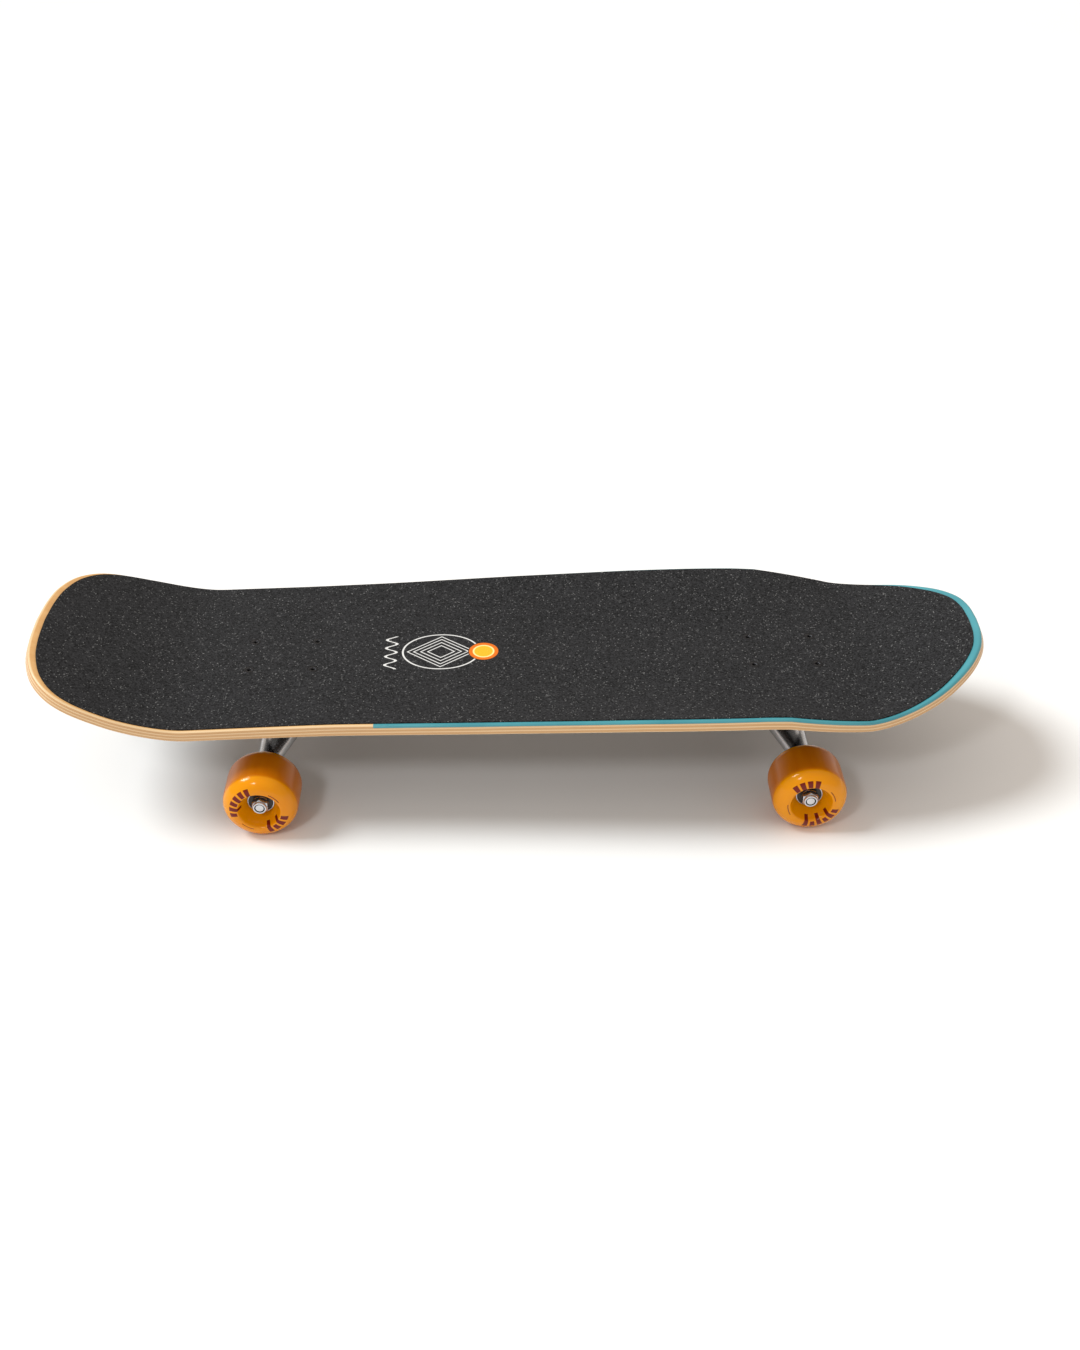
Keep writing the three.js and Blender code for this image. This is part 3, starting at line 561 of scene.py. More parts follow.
# The tread is painted a darker amber: a painted shade where it turns away from the light, varied by
# streaks of scuffs.
rolled = urethane.between(radius, TREAD_START, FAR, 0.5)
scuffs = urethane.noise(200, 4, (1, 0.15, 1))
tread_shade_and_scuffs = urethane.math("MULTIPLY", rolled, urethane.math("MULTIPLY_ADD", scuffs, 0.4, 0.45))
amber_with_tread_shade = urethane.mix(tread_shade_and_scuffs, amber, linear(178, 82, 0))
smooth_to_scuffed = urethane.math(
    "MULTIPLY_ADD", rolled, 0.2, urethane.math("MULTIPLY_ADD", haze, 0.06, 0.1)
)
urethane_material = urethane.finish(
    Base_Color=urethane.mix(ink, amber_with_tread_shade, linear(110, 25, 10)),
    Roughness=smooth_to_scuffed,
    Subsurface_Weight=0.05,
    Subsurface_Radius=(1.0, 0.35, 0.05),
    Subsurface_Scale=0.006,
    Specular_IOR_Level=0.2,
    Coat_Weight=0.12,
    Coat_Roughness=0.05,
    Normal=urethane.bump(urethane.noise(350, 2), 0.04, 0.0003),
)
print("Urethane material has", len(urethane.tree.nodes), "nodes")

# %% [markdown]
# ## Metals and rubber
# Raw castings have a faint orange-peel skin. Steel fasteners are plated, so they are smoother.
# Powder coat and rubber are both black, but powder coat is glossier.


# %% Metal and rubber materials
def metal(name, low, high, roughness, skin_scale, skin, metallic):
    """A finish whose colour and roughness wander a little, with a skin of small bumps."""
    recipe = Recipe(name)
    patches = recipe.noise(45, 5)
    fine = recipe.noise(skin_scale, 4, roughness=0.6)
    mixed = recipe.math("MULTIPLY_ADD", fine, 0.5, recipe.math("MULTIPLY", patches, 0.5))
    dull = recipe.node(
        "ShaderNodeMapRange", Value=mixed, To_Min=roughness - 0.1, To_Max=roughness + 0.12
    )
    return recipe.finish(
        Base_Color=recipe.ramp(patches, [(0.3, linear(*low)), (0.7, linear(*high))]),
        Metallic=metallic,
        Roughness=dull.outputs[0],
        Normal=recipe.bump(fine, skin, 0.0003),
    )


# Each finish: darkest and lightest colour, roughness, grain of its skin, depth of its skin, metal.
FINISHES = {
    "cast_aluminium": ((176, 177, 180), (208, 208, 210), 0.24, 900, 0.1, 1.0),
    "zinc_plate": ((168, 170, 174), (206, 207, 210), 0.15, 1500, 0.06, 1.0),
    "black_oxide": ((24, 24, 27), (44, 44, 47), 0.36, 1200, 0.12, 0.7),
    "black_powder_coat": ((20, 20, 22), (34, 34, 36), 0.42, 1400, 0.3, 0.0),
    "black_rubber": ((22, 22, 23), (36, 36, 37), 0.6, 800, 0.25, 0.0),
    "bearing_shield": ((14, 14, 15), (26, 26, 28), 0.3, 700, 0.1, 0.0),
}
metals = {name: metal(name, *values) for name, values in FINISHES.items()}
print("Plain finishes:", ", ".join(metals))

# %% [markdown]
# ## Finish, body and node
# Every piece needs a finish, picked by its slot name, and the body it moves with, and the frame's
# solid for its node has to be hidden. One helper does all three, so that none can be forgotten.

# %% Pieces get their finish, body and node
MATERIALS = {
    "maple": maple_material,
    "grip": grip_material,
    "urethane": urethane_material,
    "truck_alloy": metals["cast_aluminium"],
    "zinc_steel": metals["zinc_plate"],
    "black_steel": metals["black_oxide"],
    "black_paint": metals["black_powder_coat"],
    "black_rubber": metals["black_rubber"],
}


def fit(piece, node, body, slot):
    """The piece takes the finish of its slot, rides on its body and hides the frame's solid for its
    node.
    """
    if not piece.data.materials:
        piece.data.materials.append(MATERIALS[slot])
    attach(piece, body)
    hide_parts(node)


print("Material slots:", ", ".join(MATERIALS))


# %% [markdown]
# ## The deck's shape
# A deck is cut from a pressed blank, so its plan outline and its bend are separate things.
# The outline is a smooth curve through a few points. The bend has three parts: a flat spine for
# the trucks, rails that rise towards the sides, and a kick at each end.

# %% Outline and bend
OUTLINE = [
    (-401.2, 0), (-399.8, 29), (-395.5, 54), (-385, 77.5), (-366, 94.5), (-336, 102.6),
    (-286, 106.2), (-146, 106.6), (4, 112.3), (134, 116.1), (209, 115.6), (259, 112),
    (304, 102.8), (346, 86), (374, 64.5), (390, 42.5), (396.4, 22), (397.9, 0),
]
TAIL_CORNER, NOSE_CORNER = 0.1, 0.91
CONCAVE = [
    (-326, 0.6), (-271, 1.2), (-196, 3.8), (-146, 5.6), (4, 9), (104, 10.7),
    (204, 11.6), (222, 11.2), (289, 3.2), (401.5, 0),
]
KICKS = [(-1, 261, 0.46, 50), (1, 289, 0.5, 45)]
SPINE_HALF_WIDTH, RAIL_HALF_WIDTH, CONCAVE_POWER = 29, 104, 1.7
SAMPLES_PER_SPAN = 60


def smooth_value(a, b, c, d, t):
    """The value at t between b and c of a smooth curve through a, b, c and d."""
    slope_b, slope_c = (c - a) / 2, (d - b) / 2
    cubic = 2 * b - 2 * c + slope_b + slope_c
    square = -3 * b + 3 * c - 2 * slope_b - slope_c
    return cubic * t**3 + square * t**2 + slope_b * t + b


def outline_samples():
    """Points along the half outline with their distance from the tail."""
    points = []
    last = len(OUTLINE) - 1
    for i in range(last):
        a, b, c, d = (OUTLINE[min(max(k, 0), last)] for k in range(i - 1, i + 3))
        for step in range(SAMPLES_PER_SPAN):
            t = step / SAMPLES_PER_SPAN
            points.append(Vector(smooth_value(*values, t) for values in zip(a, b, c, d)))
    points.append(Vector(OUTLINE[-1]))
    distance, distances = 0, [0]
    for p, q in zip(points, points[1:]):
        distance += (q - p).length
        distances.append(distance)
    return points, [d / distance for d in distances]


outline_points, outline_shares = outline_samples()
BEND_STEP = 0.5


def outline_point(share, side, inset):
    """A point of the outline at a share of its length, moved in by inset."""
    low, high = 0, len(outline_shares) - 1
    while high - low > 1:
        middle = (low + high) // 2
        if outline_shares[middle] <= share:
            low = middle
        else:
            high = middle
    p, q = outline_points[low], outline_points[high]
    t = (share - outline_shares[low]) / (outline_shares[high] - outline_shares[low])
    way = (q - p).normalized()
    point = p.lerp(q, t)
    return Vector((point.x + way.y * inset, side * max(point.y - way.x * inset, 0)))


def patch_point(u, v, inset):
    """Maps a square, -1 to 1 both ways, onto the inset outline."""
    a, b = (u + 1) / 2, (v + 1) / 2
    side = -1 if v < 0 else 1
    along_side = TAIL_CORNER + a * (NOSE_CORNER - TAIL_CORNER)
    tail = outline_point(TAIL_CORNER * abs(v), side, inset)
    nose = outline_point(1 - (1 - NOSE_CORNER) * abs(v), side, inset)
    right, left = (outline_point(along_side, way, inset) for way in (-1, 1))
    point = right * (1 - b) + left * b + tail * (1 - a) + nose * a
    for share, weight_a in ((TAIL_CORNER, 1 - a), (NOSE_CORNER, a)):
        for way, weight_b in ((-1, 1 - b), (1, b)):
            point -= outline_point(share, way, inset) * weight_a * weight_b
    return point


def concave_depth(x):
    """How far the rails rise over the spine at x."""
    if x <= CONCAVE[0][0]:
        return CONCAVE[0][1]
    for (x0, d0), (x1, d1) in zip(CONCAVE, CONCAVE[1:]):
        if x < x1:
            return d0 + (d1 - d0) * (x - x0) / (x1 - x0)
    return CONCAVE[-1][1]


def bend(x, y):
    """Height of the deck's middle ply over its flat spine."""
    rise = 0
    for way, start, slope, easing in KICKS:
        d = max(way * x - start, 0)
        rise += slope * (d - easing * (1 - math.exp(-d / easing)))
    share = max(abs(y) - SPINE_HALF_WIDTH, 0) / (RAIL_HALF_WIDTH - SPINE_HALF_WIDTH)
    return rise + concave_depth(x) * share**CONCAVE_POWER


def square_to_deck(x, y):
    """The direction square to the deck's middle ply."""
    slope_x = (bend(x + BEND_STEP, y) - bend(x - BEND_STEP, y)) / (2 * BEND_STEP)
    slope_y = (bend(x, y + BEND_STEP) - bend(x, y - BEND_STEP)) / (2 * BEND_STEP)
    return Vector((-slope_x, -slope_y, 1)).normalized()


def deck_point(x, y, height):
    """The point at a height over the deck's middle ply, in metres."""
    middle = Vector((x, y, DECK_BOTTOM + DECK_THICKNESS / 2 + bend(x, y)))
    return (middle + square_to_deck(x, y) * height) * MM


print("Half outline has", len(outline_points), "points")

# %% [markdown]
# ## Sheets on the deck's shape
# The deck and the grip tape are both sheets with the same outline and bend. Subdivision could round
# a coarse sheet, but it would also move the outline, and the outline has to be exact.
# So both start as a fine flat grid, extruded upwards in layers like a stack of cards. Then every
# point is moved from the square stack to its place on the outline and the bend.


# %% Sheets that follow the bend
CELLS_LONG, CELLS_WIDE = 150, 36
DRILL_BELOW, DRILL_ABOVE = 5, 20


def bent_sheet(name, layers, inset_of, height_of):
    """A stack of grid layers, from -1 to 1, moved onto the deck's shape."""
    select_only(None)
    bpy.ops.mesh.primitive_grid_add(
        x_subdivisions=CELLS_LONG, y_subdivisions=CELLS_WIDE, size=2, location=(0, 0, -1)
    )
    piece = active_as(name)
    bpy.ops.object.transform_apply(location=True, rotation=True, scale=True)
    bpy.ops.object.mode_set(mode="EDIT")
    bpy.ops.mesh.select_all(action="SELECT")
    for _ in range(layers):
        bpy.ops.mesh.extrude_region_move(TRANSFORM_OT_translate={"value": (0, 0, 2 / layers)})
    bpy.ops.object.mode_set(mode="OBJECT")
    for vertex in piece.data.vertices:
        u, v, layer = vertex.co
        x, y = patch_point(u, v, inset_of(layer, u, v))
        vertex.co = deck_point(x, y, height_of(layer))
    point_out(piece)
    return piece


def bolt_places():
    """The end, the number and the place of each deck bolt."""
    for end, (truck_x, _) in TRUCKS.items():
        for i, (way_x, way_y) in enumerate(((-1, -1), (-1, 1), (1, -1), (1, 1))):
            place = (truck_x + way_x * BOLT_SPACING[0] / 2, way_y * BOLT_SPACING[1] / 2)
            yield end, i + 1, place


def cut_bolt_holes(piece, radius):
    """Drills all eight holes with one joined set of drills."""
    ends = [(radius, DECK_BOTTOM - DRILL_BELOW), (radius, DECK_BOTTOM + DRILL_ABOVE)]
    drills = []
    for _, _, (x, y) in bolt_places():
        drill = turned("drill", ends, ROUND)
        drill.data.transform(Matrix.Translation((x * MM, y * MM, 0)))
        drills.append(drill)
    for drill in drills[1:]:
        join(drills[0], drill)
    cut(piece, drills[0])


print("Bolt places:", len(list(bolt_places())))

# %% [markdown]
# ## Deck
# A real deck is sawn out and its edge is rounded with a router, above and below. Its layers here
# follow the same corner: a rounding, an upright side and another rounding.
# Each point then remembers its height over the middle ply, which the wood's stripes need.

# %% Deck
HALF = DECK_THICKNESS / 2
EDGE_RADIUS = 2.1
DECK_HOLE, GRIP_HOLE = 3.2, 4.68
SHEET_ANGLE = 40
corner = [
    (EDGE_RADIUS * (1 - math.sin(angle)), HALF - EDGE_RADIUS * (1 - math.cos(angle)))
    for angle in (math.radians(degrees) for degrees in range(0, 91, 15))
]
edge = [(inset, -height) for inset, height in corner] + corner[::-1]


def on_edge_profile(layer):
    """Inset and height of a layer, from -1 at the underside to 1 at the top."""
    return edge[round((layer + 1) / 2 * (len(edge) - 1))]


deck = bent_sheet(
    "deck_pressed_maple", len(edge) - 1,
    lambda layer, u, v: on_edge_profile(layer)[0], lambda layer: on_edge_profile(layer)[1],
)
cut_bolt_holes(deck, DECK_HOLE)
ply_height = deck.data.attributes.new("ply_height", "FLOAT", "POINT")
for vertex, value in zip(deck.data.vertices, ply_height.data):
    x, y, z = vertex.co / MM
    lift = z - DECK_BOTTOM - HALF - bend(x, y)
    value.value = lift * square_to_deck(x, y).z
shade(deck, SHEET_ANGLE)
fit(deck, "deck", "board", "maple")
print("Deck:", len(deck.data.polygons), "faces")

# %% [markdown]
# ## Grip tape
# The sheet is glued on and trimmed with a blade, so a rim of wood stays bare around it. The rim is
# narrow at the sides and wider at both ends. The margin is eased from one to the other, because a
# step would show as a notch.

# %% Grip tape
SIDE_MARGIN, TAIL_MARGIN, NOSE_MARGIN = 2.4, 5.8, 5.8
SHEET_FLOOR = 0.05


def eased(value, low, high):
    """0 at low, 1 at high and a gentle rise between them."""
    share = min(max((value - low) / (high - low), 0), 1)
    return share * share * (3 - 2 * share)


def grip_margin(share):
    """The bare rim outside the grip tape, at a share of the half outline."""
    tail = (TAIL_MARGIN - SIDE_MARGIN) * (1 - eased(share, 0.5 * TAIL_CORNER, 1.6 * TAIL_CORNER))
    nose = (NOSE_MARGIN - SIDE_MARGIN) * eased(share, NOSE_CORNER - 0.07, NOSE_CORNER + 0.03)
    return SIDE_MARGIN + tail + nose


def grip_inset(layer, u, v):
    """The margin at a place on the square sheet, blended from the sides to the ends."""
    along_side = grip_margin(TAIL_CORNER + (u + 1) / 2 * (NOSE_CORNER - TAIL_CORNER))
    end, end_corner = TAIL_CORNER * abs(v), TAIL_CORNER
    if u > 0:
        end, end_corner = 1 - (1 - NOSE_CORNER) * abs(v), NOSE_CORNER
    return along_side + abs(u) ** 8 * (grip_margin(end) - grip_margin(end_corner))


sheet_rise = GRIP_GAP + GRIP_THICKNESS - SHEET_FLOOR
grip_tape = bent_sheet(
    "grip_sheet", 1, grip_inset, lambda layer: HALF + SHEET_FLOOR + (layer + 1) / 2 * sheet_rise
)
cut_bolt_holes(grip_tape, GRIP_HOLE)
shade(grip_tape, SHEET_ANGLE)
fit(grip_tape, "grip_tape", "board", "grip")
print("Grip tape:", len(grip_tape.data.polygons), "faces")

# %% [markdown]
# ## Deck bolts and lock nuts
# A deck bolt has a flat countersunk head with a hexagonal socket, and a thread below.
# The thread is turned as small ridges, one by one, close enough to read as a thread.


# %% Bolts and nuts
def thread_outline(radius, start, end, pitch, depth):
    """Ridges along a rod, as (radius, height)."""
    way = 1 if end > start else -1
    count = int(abs(end - start) / pitch)
    points = []
    for i in range(count):
        at = start + way * i * pitch
        points += [(radius, at), (radius - depth, at + way * pitch / 2)]
    return points + [(radius, start + way * count * pitch)]


BOLT_TOP = DECK_BOTTOM + DECK_THICKNESS + GRIP_GAP + GRIP_THICKNESS
BOLT_LENGTH, BOLT_RADIUS, BOLT_STEPS = 30, 2.4, 24
BOLT_THREAD_START, BOLT_PITCH, BOLT_THREAD_DEPTH = -14, 0.8, 0.3
SOCKET_RADIUS, SOCKET_DEPTH = 1.85, 2.2
bolt_pattern = turned(
    "bolt_pattern",
    [(4.2, 0), (4.5, -0.15), (4.6, -0.5), (BOLT_RADIUS, -3.2)]
    + thread_outline(
        BOLT_RADIUS, BOLT_THREAD_START, 1 - BOLT_LENGTH, BOLT_PITCH, BOLT_THREAD_DEPTH
    )
    + [(1.9, -BOLT_LENGTH)],
    BOLT_STEPS,
)
socket = turned("socket", [(SOCKET_RADIUS, -SOCKET_DEPTH), (SOCKET_RADIUS, 1)], HEX_SIDES)
cut(bolt_pattern, socket)
NUT_HEIGHT, PAD_THICKNESS, PLATE_THICKNESS, JOINT_GAP = 5, 3, 6, 0.3
nut_pattern = hex_nut("deck_nut_pattern", 8, NUT_HEIGHT, bore=2.45, chamfer=0.7)
NUT_FLOOR = DECK_BOTTOM - PAD_THICKNESS - PLATE_THICKNESS - 3 * JOINT_GAP - NUT_HEIGHT
for end, number, (x, y) in bolt_places():
    to_hole = Matrix.Translation((x * MM, y * MM, BOLT_TOP * MM))
    bolt = copy_of(bolt_pattern, f"bolt_{end}_{number}", to_hole)
    fit(bolt, f"deck_bolt_{end}_{number}", "board", "black_steel")
    to_nut = Matrix.Translation((x * MM, y * MM, NUT_FLOOR * MM))
    nut = copy_of(nut_pattern, f"lock_nut_{end}_{number}", to_nut)
    fit(nut, f"deck_nut_{end}_{number}", "board", "zinc_steel")
remove(bolt_pattern)
remove(nut_pattern)
print("Deck bolts are", BOLT_LENGTH, "mm long, and their nuts stand", round(NUT_FLOOR, 1), "mm up")

# %% [markdown]
# ## Castings
# The hanger and the baseplate are cast, so no edge on them is truly sharp.
# The frame's solid has the right form with sharp facets. A copy of it is rebuilt from small even
# cells, then smoothed, which rounds every edge as a casting mould would.


# %% Castings from the frame's solids
HANGER_CELL, HANGER_PASSES = 1.0, 6
BASEPLATE_CELL, BASEPLATE_PASSES = 0.7, 4
CAST_ANGLE = 60


def casting(node, name, cell, passes, body, slot):
    """A copy of a solid, rebuilt from cells of this size and smoothed this many times."""
    copy = plain_copy(node, name)
    remesh = copy.modifiers.new("cells", "REMESH")
    remesh.mode = "VOXEL"
    remesh.voxel_size = cell * MM
    smooth = copy.modifiers.new("rounding", "SMOOTH")
    smooth.factor = 0.5
    smooth.iterations = passes
    apply_modifiers(copy)
    shade(copy, CAST_ANGLE)
    fit(copy, node, body, slot)
    print(name, len(copy.data.polygons), "faces")
    return copy


for end in TRUCKS:
    casting(
        f"hanger_{end}", f"cast_hanger_{end}", HANGER_CELL, HANGER_PASSES,
        f"hanger_{end}", "truck_alloy",
    )
    casting(
        f"baseplate_{end}", f"cast_baseplate_{end}", BASEPLATE_CELL, BASEPLATE_PASSES,
        "board", "black_paint",
    )


# %% [markdown]
# ## Kingpin, bushings and washers
# The kingpin clamps one rubbery bushing on each side of the hanger's ring. They are the truck's
# springs. The upper one is a barrel and the lower one is a cone, each held by a dished cup washer.
# When the hanger rocks, its ring leans by a few millimetres into both bushings, which flatten
# towards their washers in a real truck. Here they keep their shape, each with a mesh of its own.

# %% Steering stack
PIN = 5.05
UPPER_CUP, UPPER_BUSHING, LOWER_BUSHING, LOWER_CUP, PIN_NUT = 0.3, 2.0, 23.6, 34.9, 36.6


def barrel(length, radius):
    """A bushing that bulges round its middle."""
    return [
        (PIN, 0), (radius - 1.2, 0), (radius - 0.4, 0.25), (radius, 1), (radius + 0.6, length / 3),
        (radius + 0.8, length / 2), (radius + 0.6, length * 2 / 3), (radius, length - 1),
        (radius - 0.4, length - 0.25), (radius - 1.2, length), (PIN, length), (PIN, 0),
    ]


def cone(length, radius):
    """A bushing that narrows away from the hanger."""
    return [
        (PIN, 0), (radius - 0.9, 0), (radius - 0.2, 0.3), (radius, 1), (radius - 0.4, 4),
        (9.3, length - 0.8), (8.6, length), (PIN, length), (PIN, 0),
    ]


def cup(radius, rise):
    """A washer with a turned-up rim."""
    return [
        (PIN, 0), (radius - 1.5, 0), (radius - 0.5, 0.1), (radius, 0.5 * rise), (radius, rise),
        (radius - 0.6, rise), (radius - 1.2, 0.9), (PIN, 0.9), (PIN, 0),
    ]


PIVOT_SEAT, PIVOT_FOOT, PIVOT_OVERLAP = Vector((-25, 0, 71.5)), Vector((-7, 0, 45)), 4
pivot_direction = (PIVOT_SEAT - PIVOT_FOOT).normalized()
pivot_mouth = PIVOT_SEAT - pivot_direction * PIVOT_OVERLAP
PIVOT_CUP = [
    (0.5, 11.4), (0.5, 10.6), (3.4, 9.6), (6.3, 5.6), (6.3, 2.6), (7.4, 0.3), (7.7, 0), (8.3, 0),
    (8.3, 11.4), (0.5, 11.4),
]
BARREL_LENGTH, CONE_LENGTH = 14, 11
BUSHING_LENGTHS = {"bushing_upper": BARREL_LENGTH, "bushing_lower": CONE_LENGTH}
BUSHING_RADIUS = 12.2
CUP_RISE = 1.4
stack = {
    "bushing_upper": ("black_rubber", barrel(BARREL_LENGTH, BUSHING_RADIUS), UPPER_BUSHING, 1),
    "bushing_lower": ("black_rubber", cone(CONE_LENGTH, BUSHING_RADIUS), LOWER_BUSHING, 1),
    "cup_washer_upper": ("zinc_steel", cup(13, CUP_RISE), UPPER_CUP, 1),
    "cup_washer_lower": ("zinc_steel", cup(10.4, CUP_RISE), LOWER_CUP + CUP_RISE, -1),
}
SHANK, THREAD_START, THREAD_END, PIN_TOP = PIN - 0.3, 32, 48.5, -7.6
kingpin_outline = (
    [(SHANK, 4.2), (SHANK, THREAD_START)]
    + thread_outline(SHANK, THREAD_START, THREAD_END, pitch=1.1, depth=0.35)
    + [(3.9, 49.2)]
)
for end in TRUCKS:
    to_truck = truck_matrix(end)
    for part, (slot, outline, start, way) in stack.items():
        piece = turned(f"{part}_turned_{end}", outline, FINE_ROUND)
        piece.data.transform(to_truck @ along(on_kingpin(start), KINGPIN_DOWN * way))
        fit(piece, f"{part}_{end}", "board", slot)
        if part in BUSHING_LENGTHS:
            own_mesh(piece)
    nut = hex_nut(f"pin_nut_{end}", 14.2, 7.5, bore=PIN, chamfer=1.2)
    nut.data.transform(to_truck @ along(on_kingpin(PIN_NUT), KINGPIN_DOWN))
    fit(nut, f"kingpin_nut_{end}", "board", "zinc_steel")
    pin = turned(f"pin_{end}", kingpin_outline, ROUND)
    join(pin, hex_nut("head", 14, 4.4, bore=0.6, chamfer=0.8))
    pin.data.transform(to_truck @ along(on_kingpin(PIN_TOP), KINGPIN_DOWN))
    fit(pin, f"kingpin_{end}", "board", "zinc_steel")
    lining = turned(f"pivot_lining_{end}", PIVOT_CUP, MIDDLE_ROUND)
    lining.data.transform(to_truck @ along(pivot_mouth, pivot_direction))
    fit(lining, f"pivot_cup_{end}", "board", "black_rubber")

# %% [markdown]
# ## Riser pads
# A riser pad is a die-cut rubber plate between the baseplate and the deck. It keeps the wheels away
# from the deck and softens knocks. The frame's solid already has its form, so modelling it again
# would gain nothing: a copy gets a small rounding along its edges.

# %% Riser pads
PAD_ROUNDING = 0.4
for end in TRUCKS:
    pad = plain_copy(f"riser_pad_{end}", f"pad_{end}")
    rounding = pad.modifiers.new("rounding", "BEVEL")
    rounding.width = PAD_ROUNDING * MM
    rounding.segments = 3
    rounding.limit_method = "ANGLE"
    rounding.angle_limit = math.radians(60)
    apply_modifiers(pad)
    shade(pad, SHEET_ANGLE)
    fit(pad, f"riser_pad_{end}", "board", "black_rubber")
    print(pad.name, len(pad.data.polygons), "faces")

# %% [markdown]
# ## Wheels, bearings and what holds them
# A wheel is poured urethane, trimmed on a lathe, so it is turned from one outline here as well:
# a dished face, a wide rounded lip and a flat tread.
# Each bearing is built from what shows of it: an outer race, a dark shield and an inner race.
# The axle ends in a thread, and a nut with a nylon collar clamps washer and bearing.

# %% Wheel outlines
LIP, HALF_WIDTH, WHEEL_RADIUS = 13, 24.48, 31
lip = [
    (WHEEL_RADIUS - LIP * (1 - math.sin(angle)), HALF_WIDTH - LIP * (1 - math.cos(angle)))
    for angle in (math.radians(degrees) for degrees in range(0, 91, 6))
]
face_outline = [
    (11.05, 12.2), (11.4, 12.9), (12.4, 14.0), (14.0, 16.6), (15.4, 19.4), (16.4, 21.8),
    (17.0, 23.3), (17.5, 24.1),
] + lip
wheel_outline = [(r, -h) for r, h in face_outline] + face_outline[::-1]
wheel_outline.append(wheel_outline[0])

BEARING = [
    (4.3, 0), (5.7, 0), (5.85, 0.3), (10.1, 0.3), (10.25, 0), (10.8, 0), (11, 0.2), (11, 6.8),
    (10.8, 7), (10.25, 7), (10.1, 6.7), (5.85, 6.7), (5.7, 7), (4.3, 7), (4.3, 0),
]


SHIELD_INSIDE, SHIELD_OUTSIDE = 5.8, 10.2


def darken_shield(piece):
    """The faces between the races get the shield's material."""
    piece.data.materials.append(metals["zinc_plate"])
    piece.data.materials.append(metals["bearing_shield"])
    for polygon in piece.data.polygons:
        centre = polygon.center / MM
        distance = math.hypot(centre.x, centre.y)
        if SHIELD_INSIDE < distance < SHIELD_OUTSIDE:
            polygon.material_index = 1


WHEEL_ROUND, WHEEL_ANGLE = 96, 50
wheel_pattern = turned("wheel_pattern", wheel_outline, WHEEL_ROUND, WHEEL_ANGLE)
bearing_pattern = turned("bearing_pattern", BEARING)
darken_shield(bearing_pattern)
washer_pattern = turned(
    "washer_pattern",
    [(4.3, 0), (6.2, 0), (6.4, 0.2), (6.4, 0.7), (6.2, 0.9), (4.3, 0.9), (4.3, 0)], FINE_ROUND,
)
axle_nut_pattern = hex_nut("axle_nut_pattern", 12.6, 5.2, bore=4.3, chamfer=1.1)
collar = turned(
    "collar", [(4.3, 5.2), (5.9, 5.2), (5.9, 6.1), (5.4, 6.8), (4.3, 6.8), (4.3, 5.2)],
    MIDDLE_ROUND,
)
join(axle_nut_pattern, collar)
print("Wheel pattern:", len(wheel_pattern.data.polygons), "faces")

# %% [markdown]
# ## Four wheels on two axles
# A wheel, its bearings, washer and nut are made once and copied to four hubs. Only the wheel and
# the bearings roll. The washer and the nut are clamped on the axle, so they ride on the hanger.
# The print on the front wheels is turned, as wheels never stop at the same angle.

# %% Wheels in place
PRINT_TURN = {"rear": 0.0, "front": math.radians(165)}
BEARING_OFFSETS = {"outer": 5.0, "inner": -12.0}
WASHER_OFFSET, NUT_OFFSET = 12.3, 13.5
for end in TRUCKS:
    to_truck = truck_matrix(end)
    facing = 1 if end == "rear" else -1
    for side, way in (("left", 1), ("right", -1)):
        name = f"{end}_{side}"
        outward = Vector((0, way * facing, 0))
        hub = AXLE_PLACE + outward * WHEEL_CENTRE
        to_hub = to_truck @ along(hub, outward)
        wheel = copy_of(wheel_pattern, f"tyre_{name}", Matrix.Rotation(PRINT_TURN[end], 4, "Z"))
        place = wheel.data.attributes.new("wheel_place", "FLOAT_VECTOR", "POINT")
        for vertex, value in zip(wheel.data.vertices, place.data):
            value.vector = Matrix.Rotation(-2 * PRINT_TURN[end], 3, "Z") @ vertex.co / MM
        wheel.data.transform(to_hub)
        fit(wheel, f"wheel_{name}", f"wheel_{name}", "urethane")
        for label, offset in BEARING_OFFSETS.items():
            bearing = copy_of(
                bearing_pattern, f"race_{name}_{label}",
                to_truck @ along(hub + outward * offset, outward),
            )
            fit(bearing, f"bearing_{name}_{label}", f"wheel_{name}", "zinc_steel")
        washer_place = to_truck @ along(hub + outward * WASHER_OFFSET, outward)
        washer = copy_of(washer_pattern, f"washer_{name}", washer_place)
        fit(washer, f"axle_washer_{name}", f"hanger_{end}", "zinc_steel")
        nut_place = to_truck @ along(hub + outward * NUT_OFFSET, outward)
        nut = copy_of(axle_nut_pattern, f"nut_{name}", nut_place)
        fit(nut, f"axle_nut_{name}", f"hanger_{end}", "zinc_steel")
        print("Wheel, two bearings, washer and nut at", name)
for pattern in (wheel_pattern, bearing_pattern, washer_pattern, axle_nut_pattern):
    remove(pattern)

# %% [markdown]
# ## Axles
# An axle is one steel rod through the whole hanger, with a thread at each end for the nut.
# Only its ends show, so the thread is real geometry there and the rest is left smooth.

# %% Axles
AXLE_RADIUS, AXLE_THREAD_START, AXLE_THREAD_END, AXLE_HALF_LENGTH = 4, 108, 120.4, 121
thread = thread_outline(AXLE_RADIUS, AXLE_THREAD_START, AXLE_THREAD_END, pitch=1.05, depth=0.4)
half_axle = [(AXLE_RADIUS, 0)] + thread + [(3.3, AXLE_HALF_LENGTH)]
axle_outline = [(r, -h) for r, h in half_axle[::-1]] + half_axle[1:]
for end in TRUCKS:
    axle = turned(f"axle_rod_{end}", axle_outline, ROUND)
    axle.data.transform(truck_matrix(end) @ along(AXLE_PLACE, Vector((0, 1, 0))))
    fit(axle, f"axle_{end}", f"hanger_{end}", "zinc_steel")
    print(axle.name, len(axle.data.polygons), "faces")

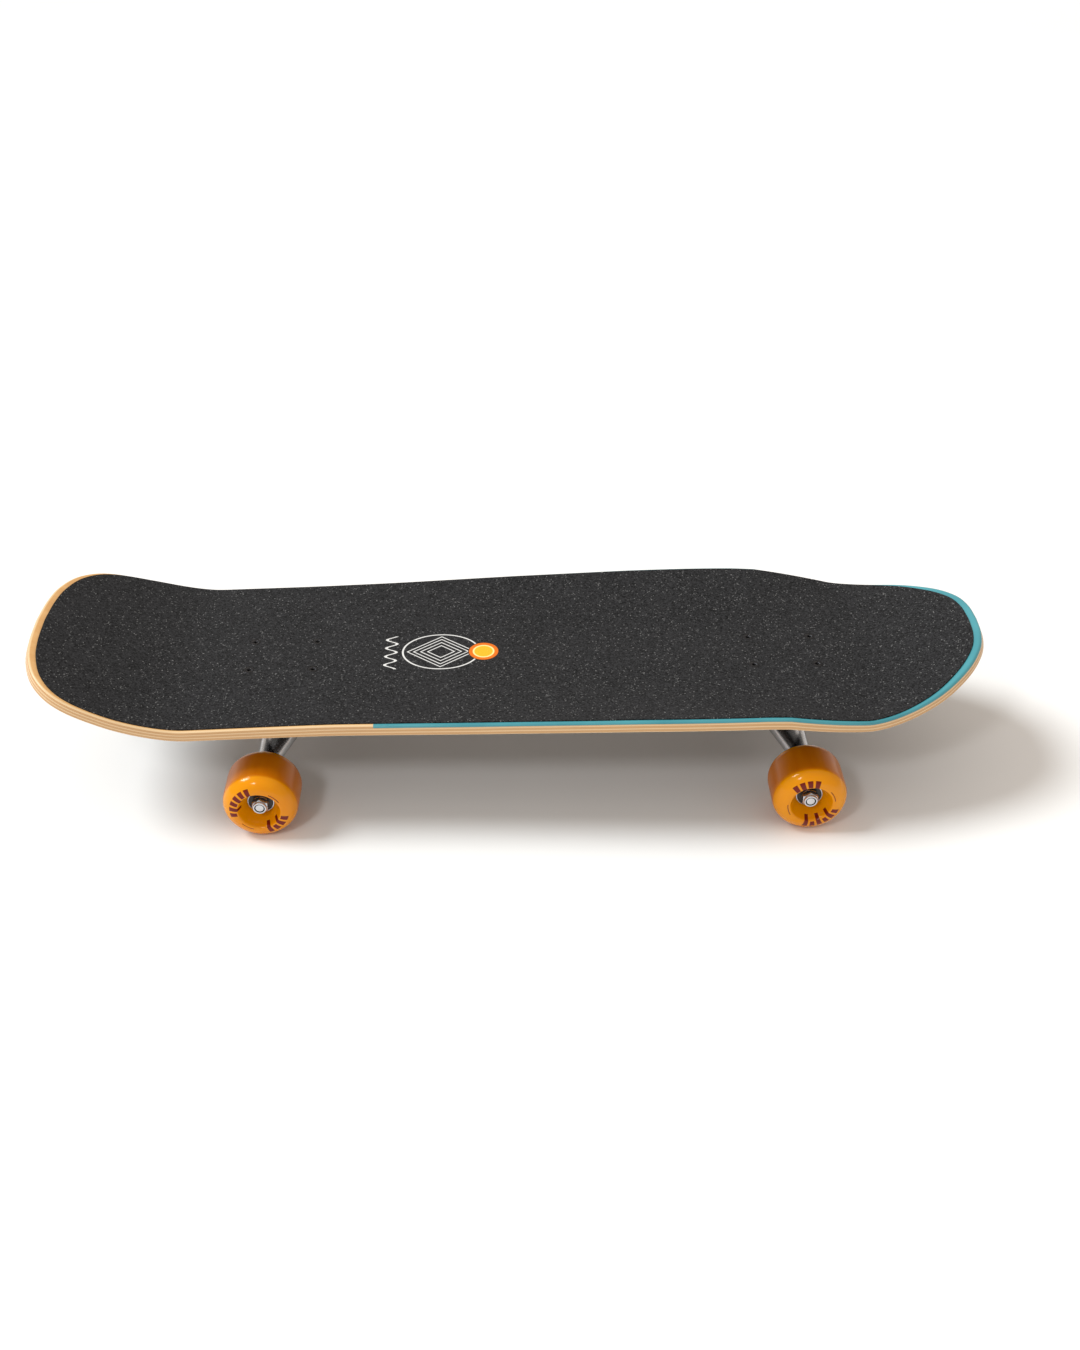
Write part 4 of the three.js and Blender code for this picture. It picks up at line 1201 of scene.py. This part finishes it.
# %% [markdown]
# ## Floor and light
# The board stands on a wide pale floor. A soft sun comes from the upper left and a little from
# behind, so the shadow falls to the right. A warm sky fills the shadow, and a small lamp at the
# front left puts one bright spot on each wheel.

# %% Stage
FLOOR_SIZE = 24
SKY_COLOUR, SKY_STRENGTH = (1.0, 0.905, 0.81, 1), 0.62
SUN_COLOUR, SUN_STRENGTH, SUN_ANGLE = (0.93, 0.98, 1.0), 2.8, 0.4
SUN_DIRECTION = Vector((1.0, -0.17, -1.2))
LAMP_PLACE, LAMP_TARGET, LAMP_SIZE, LAMP_POWER = (-0.9, -1.6, 1.9), (0, 0, 0.05), 0.35, 10
select_only(None)
bpy.ops.mesh.primitive_plane_add(size=FLOOR_SIZE)
floor = active_as("floor")
floor_recipe = Recipe("studio_floor")
floor_tint = floor_recipe.ramp(
    floor_recipe.noise(3, 2), [(0.3, (0.885, 0.88, 0.875)), (0.7, (0.9, 0.895, 0.89))]
)
floor.data.materials.append(
    floor_recipe.finish(Base_Color=floor_tint, Roughness=0.55, Specular_IOR_Level=0.2)
)

world = bpy.data.worlds.new("studio")
world.use_nodes = True
sky = world.node_tree.nodes["Background"]
sky.inputs["Color"].default_value = SKY_COLOUR
sky.inputs["Strength"].default_value = SKY_STRENGTH
bpy.context.scene.world = world


def light(name, kind, power, colour, direction, place=(0, 0, 0)):
    """A lamp that shines along direction."""
    data = bpy.data.lights.new(name, kind)
    data.energy = power
    data.color = colour
    lamp = bpy.data.objects.new(name, data)
    lamp.location = place
    lamp.rotation_mode = "QUATERNION"
    lamp.rotation_quaternion = direction.to_track_quat("-Z", "Y")
    bpy.context.scene.collection.objects.link(lamp)
    return data


light("key", "SUN", SUN_STRENGTH, SUN_COLOUR, SUN_DIRECTION).angle = SUN_ANGLE
aim = Vector(LAMP_TARGET) - Vector(LAMP_PLACE)
light("wheel_gloss", "AREA", LAMP_POWER, (1.0, 1.0, 1.0), aim, LAMP_PLACE).size = LAMP_SIZE
bpy.context.scene.view_settings.view_transform = "Standard"
print("Floor", FLOOR_SIZE, "m wide, a sun and a lamp")
